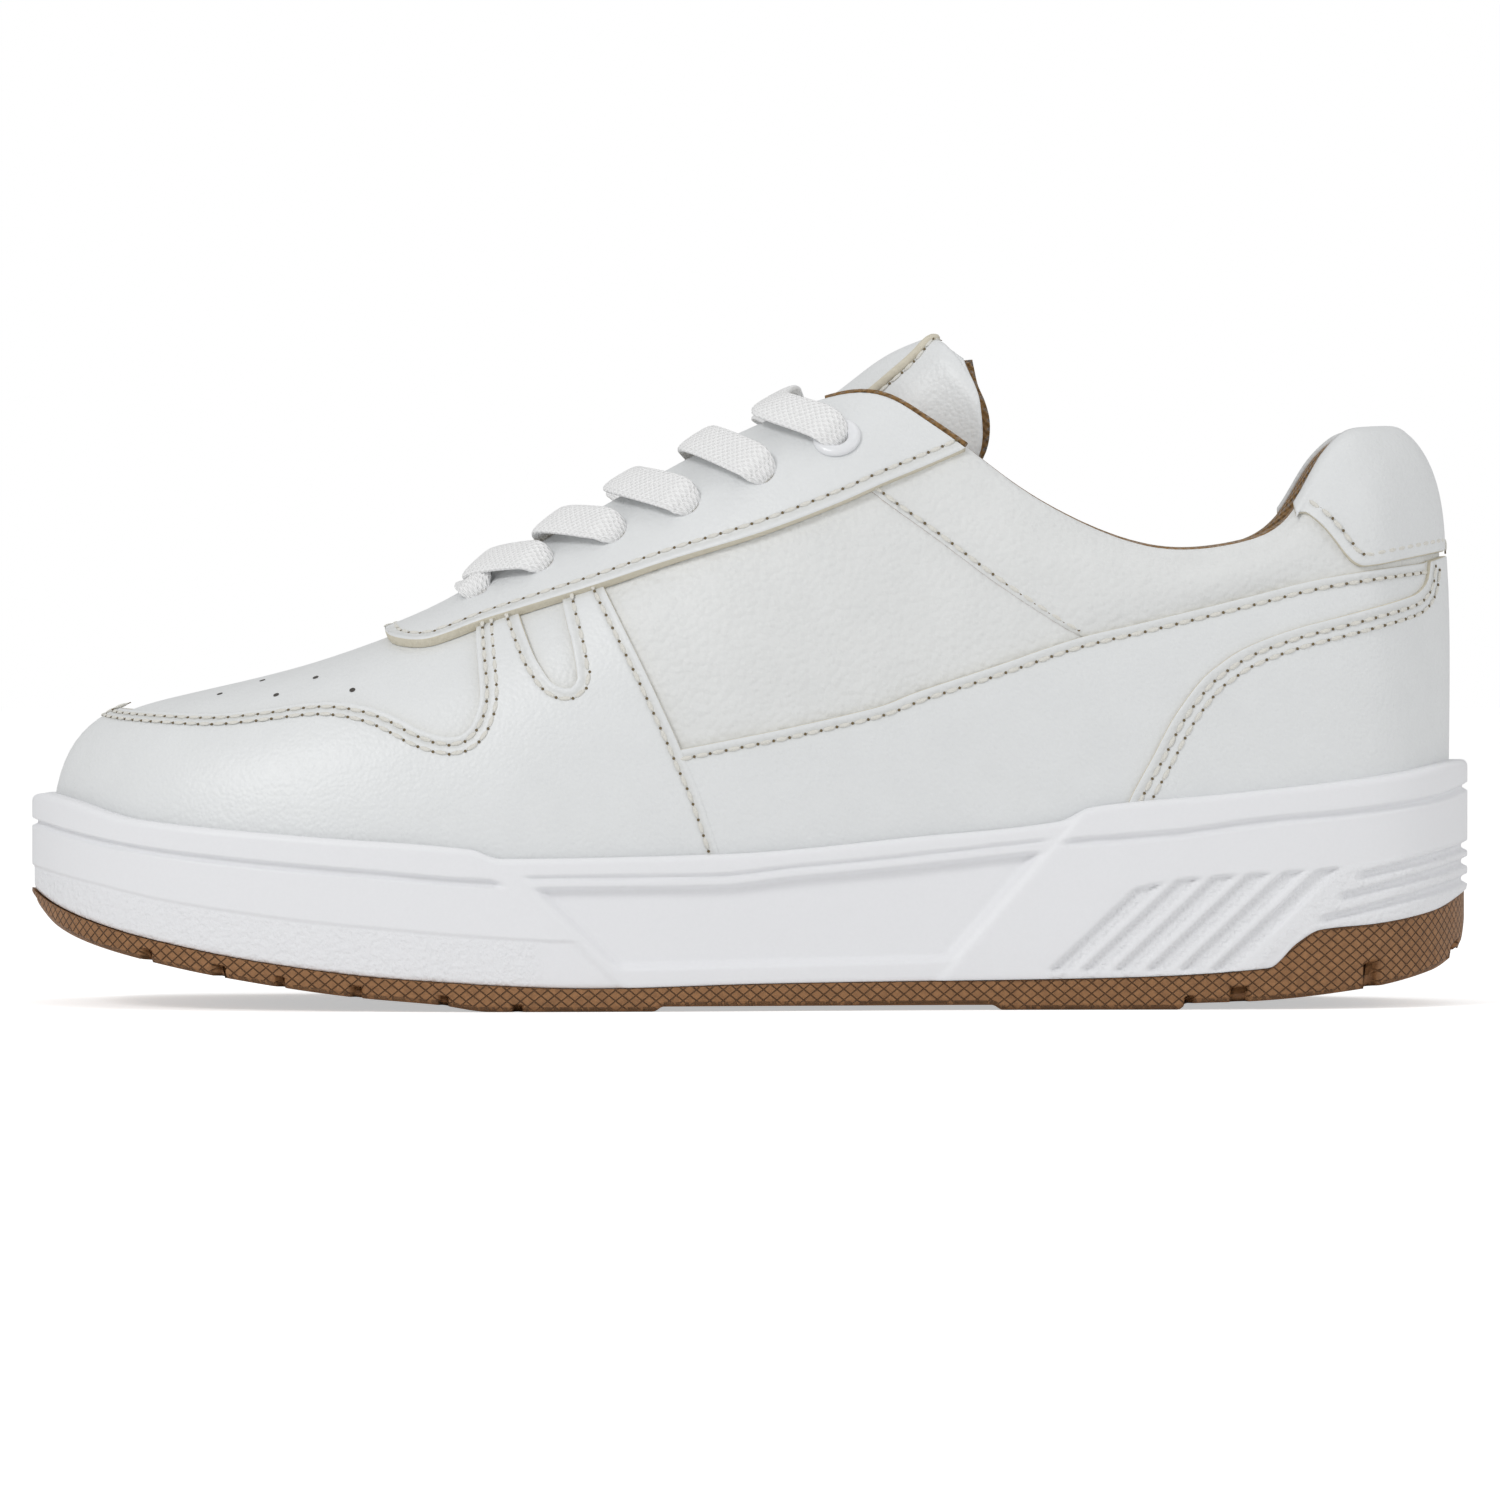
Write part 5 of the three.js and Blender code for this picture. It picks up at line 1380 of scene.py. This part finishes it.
def makeBinding(side, name):  # the lining's folded edge, seen above the eyestay's rear corner
    places = levelRun(side * 8.66, side * 10.3, lambda g: throatEdge(g) + 0.012, 0.04)
    verts, faces = tubeAlong(onSkin(places, bindingShape["depth"])[0], bindingShape["radius"])
    obj = makeObject(f"throat_binding_{name}", verts, faces, [finish["tan_textile"]])
    faceOutwards(obj)
    return obj


bindingShape = {"radius": 0.65, "depth": 1.4}
for side, name in sides:
    finishPiece(makeBinding(side, name), "shoe", "tan_textile")


def makeTongueCords():  # the folded edges of the tongue's middle panel
    s = tongueShape
    verts, faces = np.zeros((0, 3)), []
    for sign in (-1, 1):
        v = np.linspace(0.5, 0.955, 60)
        u = sign * s["cordAt"] * (1 - 0.25 * smoothStep(v, 0.8, 1.0)) * np.ones_like(v)
        line = onTongue(u, v) + tongueNormal(u, v) * (s["crown"] + 0.1)
        more, moreFaces = tubeAlong(line, s["cordRadius"])
        faces += shifted(moreFaces, len(verts))
        verts = np.vstack([verts, more])
        row = onTongue(u * 1.12, v) + tongueNormal(u * 1.12, v) * (s["crown"] + 0.05)
        seams["tongue"].append(evenRun(np.hstack([row, tongueNormal(u * 1.12, v)]), 0.8))
    obj = makeObject("tongue_folded_edges", verts, faces, [finish["cut_edge"]])
    faceOutwards(obj)
    return obj


tongue = makeTongue()
finishPiece(tongue, "tongue", "white_leather", "tongue_face", "tongue_foam", "tongue_lining")
finishPiece(makeTongueCords(), "tongue", "white_leather")
print("tongue made")

# ---- the lace and the eyelets ----

laceShape = {
    "width": 8.8, "thick": 2.1, "inHole": 4.8, "under": 6.0, "clearOver": 4.4, "lean": 0.2,
    "clearUnder": 6.2, "overTongue": 4.2, "second": 7.0, "corners": 16, "stepsPerPoint": 14,
}


def tongueCrest(x):
    low, high = 0.0, 1.0
    for _ in range(24):
        v = (low + high) / 2
        if onTongue(0.0, v)[0] < x:
            low = v
        else:
            high = v
    return onTongue(0.0, low)[2], tongueNormal(0.0, low)


def laceStations():  # (point, flat side's direction, width, thickness) along the whole lace
    s = laceShape
    top = len(eyeletPlaces[1]) - 1




    def edgeCross(i, side, share, depth):
        gFrom, gTo = eyeletPlaces[side][i][0], eyeletPlaces[side][i + 1][0]
        return spotOn((gFrom + (gTo - gFrom) * share, 0.985), depth)

    def through(i, side, sign):
        place = eyeletPlaces[side][i]
        over, normal = spotOn(place, s["clearOver"])
        hole, _ = spotOn(place, 0.2)
        under, _ = spotOn(place, -s["clearUnder"])
        if i == 0:
            before = spotOn((place[0], min(place[1] + 0.12, 1)), s["clearOver"])[0]
        else:
            before = edgeCross(i - 1, side, s["lean"], s["clearOver"])[0]
        outward = over - before
        outward = unit(outward - normal * np.dot(outward, normal))
        return [(over - outward * 4.6 + normal * 0.3, normal * sign, s["width"], s["thick"]),
                (over - normal * 0.9 - outward * 0.6, unit(normal + outward * 0.7) * sign,
                 s["width"] * 0.86, s["thick"] * 1.2),
                (hole + outward * 0.4 + normal * 0.6, outward * sign, s["inHole"], s["thick"] * 1.6),
                (under, -normal * sign, s["under"], s["thick"])]

    def crossing(i, side, height, sign):
        out, outNormal = edgeCross(i, side, 0.25, -s["clearUnder"])
        over, overNormal = edgeCross(i, -side, s["lean"], s["clearOver"] + 0.9)
        x = (out[0] + over[0]) / 2
        crest, crestNormal = tongueCrest(x)
        middle = np.array([x, (out[1] + over[1]) / 2, crest + height])
        return [(out, -outNormal * sign, s["width"] * 0.85, s["thick"]),
                (middle, -crestNormal * sign, s["width"], s["thick"]),
                (over, -overNormal * sign, s["width"], s["thick"])]

    def climb(startSide, height):
        run, side, sign = [], startSide, 1
        for i in range(top):
            run += crossing(i, side, height, sign)
            side = -side
            run += through(i + 1, side, -sign)
            sign = -sign
        g, t = eyeletPlaces[side][top]
        for drop in (0.07, 0.15, 0.24, 0.34):
            point, normal = spotOn((g, t - drop), -s["clearUnder"] - 2)
            run.append((point, normal * sign * -1, s["under"], s["thick"]))
        return run

    def bar(side):
        run = through(0, side, 1)[::-1]
        g, t = eyeletPlaces[side][0]
        point, normal = spotOn((g, (1 + t) / 2), s["clearOver"] - 0.6)
        return run[:3] + [(point, normal, s["width"], s["thick"])]

    left, right = bar(-1), bar(1)
    x = left[-1][0][0]
    height = onLast(np.array([5.0]), np.array([1.0]))[0][2] + 5.2
    middle = (np.array([x, 0, height]), np.array([0, 0, 1.0]), s["width"], s["thick"])
    first, second = climb(-1, s["overTongue"]), climb(1, s["second"])
    return first[::-1] + left + [middle] + right[::-1] + second


def makeLace():
    s = laceShape
    run = laceStations()
    points = np.array([r[0] for r in run])
    sides = np.array([r[1] for r in run])
    for k in range(1, len(sides)):  # a flat lace may turn its back, so each side takes the nearer way
        if np.dot(sides[k], sides[k - 1]) < -0.2:
            sides[k:] = -sides[k:]
    share = np.linspace(0, 1, (len(run) - 1) * s["stepsPerPoint"] + 1)
    line = splineAt(points, share)
    normal = unit(splineAt(sides, share))
    size = np.stack([np.interp(share * (len(run) - 1), np.arange(len(run)), [r[k] for r in run])
                     for k in (2, 3)], -1)
    ahead = unit(np.gradient(line, axis=0))
    normal = unit(normal - ahead * np.einsum("ij,ij->i", normal, ahead)[:, None])
    across = np.cross(ahead, normal)
    travel = np.concatenate([[0], np.cumsum(np.linalg.norm(np.diff(line, axis=0), axis=1))])
    count = s["corners"]
    angle = np.linspace(0, 2 * math.pi, count, endpoint=False)
    flatX = np.sign(np.cos(angle)) * np.abs(np.cos(angle)) ** 0.7
    flatZ = np.sign(np.sin(angle)) * np.abs(np.sin(angle)) ** 0.85
    rows = []
    for a, b in zip(flatX, flatZ):
        crown = b * size[:, 1:] / 2
        rows.append(line + across * (a * size[:, :1] / 2) + normal * crown)
    verts = np.stack(rows, 1).reshape(-1, 3)
    faces = gridFaces(len(line), count, closeColumns=True)
    faces += [tuple(range(count)), tuple((len(line) - 1) * count + i for i in range(count))[::-1]]
    obj = makeObject("flat_lace", verts, faces, [finish["lace"]])
    layer = obj.data.uv_layers.new(name="braid")
    coords = np.zeros((len(obj.data.loops), 2))
    for polygon in obj.data.polygons:
        for loop in polygon.loop_indices:
            vertex = obj.data.loops[loop].vertex_index
            i, j = divmod(vertex, count)
            coords[loop] = (travel[i], flatX[j] * s["width"] / 2)
    layer.data.foreach_set("uv", coords.reshape(-1).astype(np.float32))
    faceOutwards(obj, 0)
    print("lace length, mm:", round(float(travel[-1]), 1))
    return obj


ringShape = {"bore": 2.3, "flange": 5.0, "thick": 1.1, "depth": 3.0}


def turned(profile, place, corners=48):  # a small round piece standing on the last
    seat, normal = spotOn(place, 0.0)
    side = unit(np.cross(normal, np.array([0.0, 0.0, 1.0])))
    up = np.cross(side, normal)
    angle = np.linspace(0, 2 * math.pi, corners, endpoint=False)
    verts = []
    for radius, height in profile:
        for a in angle:
            verts.append(seat + normal * height + (side * math.cos(a) + up * math.sin(a)) * radius)
    return np.array(verts)


def makeRing(side, name):
    s = ringShape
    low = layers["eyestay"]
    arc = np.radians(np.linspace(0, 180, 12))
    middle, half = (s["flange"] + s["bore"]) / 2, (s["flange"] - s["bore"]) / 2
    profile = [(middle + half * math.cos(a), low + s["thick"] * math.sin(a) ** 0.8) for a in arc]
    profile += [(s["bore"], low - s["depth"]), (s["bore"] + 0.5, low - s["depth"]),
                (s["bore"] + 0.5, low - 0.3), (s["flange"] - 0.2, low - 0.2)]
    verts = turned(profile, eyeletPlaces[side][-1])
    faces = gridFaces(len(profile), 48, closeRows=True, closeColumns=True)
    obj = makeObject(f"top_eyelet_{name}", verts, faces, [finish["painted_ring"]])
    faceOutwards(obj)
    return obj


def makeHoles():
    verts, faces = np.zeros((0, 3)), []
    for side in (-1, 1):
        for place in eyeletPlaces[side]:
            profile = [(2.55, 0.05), (2.55, 0.35), (1.2, 0.3), (0.02, 0.3)]
            more = turned(profile + [(0.02, 0.05)], place, 20)
            moreFaces = gridFaces(len(profile) + 1, 20, closeRows=True, closeColumns=True)
            faces += shifted(moreFaces, len(verts))
            verts = np.vstack([verts, more])
    obj = makeObject("eyelet_shadows", verts, faces, [finish["hole_shadow"]])
    faceOutwards(obj)
    return obj


finishPiece(makeLace(), "shoe", "woven_lace", "lace")
for side, name in sides:
    finishPiece(makeRing(side, name), "shoe", "painted_ring", f"eyelet_ring_{name}")
finishPiece(makeHoles(), "shoe", "stiffener")
print("lace made")

# ---- stitches and perforations, from node trees ----

stitchShape = {"pitch": 3.3, "length": 2.75, "thread": 0.95, "height": 0.6, "needle": 0.31, "needleDeep": 0.2}
holeShape = {"radius": 0.62, "rim": 0.09}


def startTree(name, inputs):
    inputs = [("Geometry", "Geometry", None)] + inputs + [("Material", "Material", None)]
    return newGroup(name, inputs, [("Geometry", "Geometry")], "GeometryNodeTree")


def setInputs(modifier, values):
    for item in modifier.node_group.interface.items_tree:
        if item.item_type == "SOCKET" and item.in_out == "INPUT" and item.name in values:
            modifier[item.identifier] = values[item.name]


def placeOn(tree, points, instance, along, scale=None):  # copies stand on the points, along the row
    lift = addNode(tree, "GeometryNodeInputNamedAttribute", {"Name": "lift"}, data_type="FLOAT_VECTOR")
    turn = addNode(tree, "FunctionNodeAxesToRotation", {0: lift.outputs["Attribute"], 1: along},
                   primary_axis="Z", secondary_axis="X")
    inputs = {"Points": points, "Instance": instance, "Rotation": turn.outputs[0]}
    if scale is not None:
        inputs["Scale"] = scale
    return addNode(tree, "GeometryNodeInstanceOnPoints", inputs).outputs[0]


def closeTree(tree, start, end, geometry):
    real = addNode(tree, "GeometryNodeRealizeInstances", {0: geometry})
    paint = addNode(tree, "GeometryNodeSetMaterial", {
        "Geometry": real.outputs[0], "Material": start.outputs["Material"]})
    tree.links.new(paint.outputs[0], end.inputs[0])
    return tree


def evenPoints(tree, start):  # points at an even pitch along the rows, and the rows' direction
    curve = addNode(tree, "GeometryNodeMeshToCurve", {"Mesh": start.outputs["Geometry"]})
    even = addNode(tree, "GeometryNodeResampleCurve", mode="LENGTH")
    tree.links.new(curve.outputs[0], even.inputs["Curve"])
    tree.links.new(start.outputs["Pitch"], even.inputs["Length"])
    return even.outputs[0], tree.nodes.new("GeometryNodeInputTangent").outputs[0]


def addDisc(tree, start, corners):
    disc = addNode(tree, "GeometryNodeMeshCylinder", {
        "Vertices": corners, "Radius": start.outputs["Radius"], "Depth": start.outputs["Rim"]})
    return disc.outputs["Mesh"]


def stitchTree():
    tree, start, end = startTree("sewnRow", [
        ("Pitch", "Float", 0.0033), ("Length", "Float", 0.0027), ("Thread", "Float", 0.0008),
        ("Height", "Float", 0.0005)])
    points, along = evenPoints(tree, start)
    ball = addNode(tree, "GeometryNodeMeshUVSphere", {"Segments": 8, "Rings": 6, "Radius": 0.5})
    size = addNode(tree, "ShaderNodeCombineXYZ", {
        k: start.outputs[label] for k, label in enumerate(("Length", "Thread", "Height"))})
    placed = placeOn(tree, points, ball.outputs["Mesh"], along, size.outputs[0])
    smooth = addNode(tree, "GeometryNodeSetShadeSmooth", {"Geometry": placed})
    return closeTree(tree, start, end, smooth.outputs[0])


def needleTree():  # the small holes that the thread goes down, half a stitch from its middle, drawn as dark discs of painted shade
    tree, start, end = startTree("needleHoles", [
        ("Pitch", "Float", 0.0033), ("Radius", "Float", 0.0004), ("Rim", "Float", 0.0002)])
    points, along = evenPoints(tree, start)
    half = addMath(tree, "MULTIPLY", start.outputs["Pitch"], 0.5)
    away = addNode(tree, "ShaderNodeCombineXYZ", {0: half})
    shift = addNode(tree, "GeometryNodeTransform", {
        "Geometry": addDisc(tree, start, 8), "Translation": away.outputs[0]})
    return closeTree(tree, start, end, placeOn(tree, points, shift.outputs[0], along))


def punchTree():
    tree, start, end = startTree("punchedHoles", [("Radius", "Float", 0.0006), ("Rim", "Float", 0.0001)])
    placed = placeOn(tree, start.outputs["Geometry"], addDisc(tree, start, 14), (1, 0, 0))
    return closeTree(tree, start, end, placed)


def fromTree(name, points, normals, edges, tree, values):
    mesh = bpy.data.meshes.new(name + "_guide")
    mesh.from_pydata([tuple(p) for p in np.asarray(points) * mm], edges, [])
    layer = mesh.attributes.new("lift", "FLOAT_VECTOR", "POINT")
    layer.data.foreach_set("vector", np.asarray(normals, dtype=np.float32).reshape(-1))
    guide = bpy.data.objects.new(name + "_guide", mesh)
    bpy.context.scene.collection.objects.link(guide)
    modifier = guide.modifiers.new("rows", "NODES")
    modifier.node_group = tree
    setInputs(modifier, values)
    graph = bpy.context.evaluated_depsgraph_get()
    made = bpy.data.meshes.new_from_object(guide.evaluated_get(graph))
    made.name = name
    obj = bpy.data.objects.new(name, made)
    bpy.context.scene.collection.objects.link(obj)
    guide.modifiers.clear()
    bpy.data.objects.remove(guide)
    return obj


def makeStitches(name, rows, tree, lift, values):
    points = np.vstack([r[:, :3] for r in rows])
    normals = np.vstack([r[:, 3:] for r in rows])
    edges, start = [], 0
    for r in rows:
        edges += [(start + k, start + k + 1) for k in range(len(r) - 1)]
        start += len(r)
    return fromTree(name, points + normals * lift, normals, edges, tree, values)


def makePerforations():
    spots = []
    for side in (-1, 1):
        spots.append(locate([(-81, 65.2), (-97, 64.2), (-109.3, 64.4), (-89, 67.8), (-100.6, 67.2)], side))
    spots = np.vstack(spots)
    points, normals = onSkin(spots, 0.06)
    return fromTree("toe_perforations", points, normals, [], punchTree(), {
        "Radius": holeShape["radius"] * mm, "Rim": holeShape["rim"] * mm, "Material": finish["hole_shadow"]})


sewnRow, needleRow = stitchTree(), needleTree()
threadValues = {"Pitch": stitchShape["pitch"] * mm, "Length": stitchShape["length"] * mm,
                "Thread": stitchShape["thread"] * mm, "Height": stitchShape["height"] * mm,
                "Material": finish["cream_thread"]}
needleValues = {"Pitch": stitchShape["pitch"] * mm, "Radius": stitchShape["needle"] * mm,
                "Rim": stitchShape["needleDeep"] * mm,
                "Material": finish["needle_hole_shade"]}
for name, body in (("upper", "shoe"), ("tongue", "tongue")):
    stitches = makeStitches(f"{name}_stitches", seams[body], sewnRow, 0.05, threadValues)
    finishPiece(stitches, body, "white_leather")
    needles = makeStitches(f"{name}_needle_holes", seams[body], needleRow, 0.0, needleValues)
    finishPiece(needles, body, "stiffener")
finishPiece(makePerforations(), "shoe", "stiffener")
print("stitches made")

# ---- pieces kept from the frame ----

keptFinish = {
    "midsole_core": "raw_foam", "strobel_board": "fibre_board", "toe_puff": "stiff_sheet",
    "heel_counter": "stiff_sheet", "eyestay_backing_lateral": "stiff_sheet",
    "eyestay_backing_medial": "stiff_sheet", "aglet_medial": "clear_tip", "aglet_lateral": "clear_tip",
}
for node, look in keptFinish.items():
    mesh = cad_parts[node].data
    mesh.materials.clear()
    mesh.materials.append(finish[look])

# ---- floor, light and camera ----

studio = {
    "floor": (0.93, 0.93, 0.93), "glow": 0.5, "backdrop": 1.0, "world": 0.55,
    "lamps": [("key", 9.0, (-0.9, -1.15, 1.1), 0.5), ("top", 2.0, (0.25, 0.1, 1.6), 1.0),
              ("fill", 3.0, (1.3, -0.7, 0.6), 1.0)],
    "distance": 1.74, "lens": 200, "aimX": 0.0005, "aimZ": 0.0527, "above": 0.012,
}


def makeStudio():
    s = studio
    scene = bpy.context.scene
    scene.view_settings.view_transform = "Standard"
    reach = 30000
    verts = [(x, y, -0.05) for x, y in ((-reach, -reach), (reach, -reach), (reach, reach), (-reach, reach))]
    material, tree, shader = startMaterial("pale_floor", s["floor"], 0.9, Emission_Color=(1, 1, 1, 1))
    seenDirectly = tree.nodes.new("ShaderNodeLightPath").outputs["Is Camera Ray"]
    tree.links.new(addMath(tree, "MULTIPLY", seenDirectly, s["glow"]), shader.inputs["Emission Strength"])
    makeObject("floor", verts, [(0, 1, 2, 3)], [material])
    world = bpy.data.worlds.new("studio")
    world.use_nodes = True
    tree = world.node_tree
    glow = tree.nodes["Background"]
    glow.inputs["Color"].default_value = (1, 1, 1, 1)
    glow.inputs["Strength"].default_value = s["world"]
    seen = addNode(tree, "ShaderNodeBackground", {"Color": (1, 1, 1, 1), "Strength": s["backdrop"]})
    direct = tree.nodes.new("ShaderNodeLightPath").outputs["Is Camera Ray"]
    choose = addNode(tree, "ShaderNodeMixShader", {0: direct, 1: glow.outputs[0], 2: seen.outputs[0]})
    tree.links.new(choose.outputs[0], tree.nodes["World Output"].inputs["Surface"])
    scene.world = world
    for name, power, place, size in s["lamps"]:
        lamp = bpy.data.lights.new(name, "AREA")
        lamp.energy, lamp.size = power, size
        obj = bpy.data.objects.new(name, lamp)
        obj.location = place
        obj.rotation_euler = (Vector((0, 0, 0.05)) - Vector(place)).to_track_quat("-Z", "Y").to_euler()
        scene.collection.objects.link(obj)
    lens = bpy.data.cameras.new("camera")
    lens.lens, lens.sensor_width = s["lens"], 36
    lens.clip_end = 200
    camera = bpy.data.objects.new("camera", lens)
    camera.location = (s["aimX"], -s["distance"], s["aimZ"] + s["above"])
    aim = Vector((s["aimX"], 0, s["aimZ"])) - camera.location
    camera.rotation_euler = aim.to_track_quat("-Z", "Y").to_euler()
    scene.collection.objects.link(camera)
    scene.camera = camera


makeStudio()
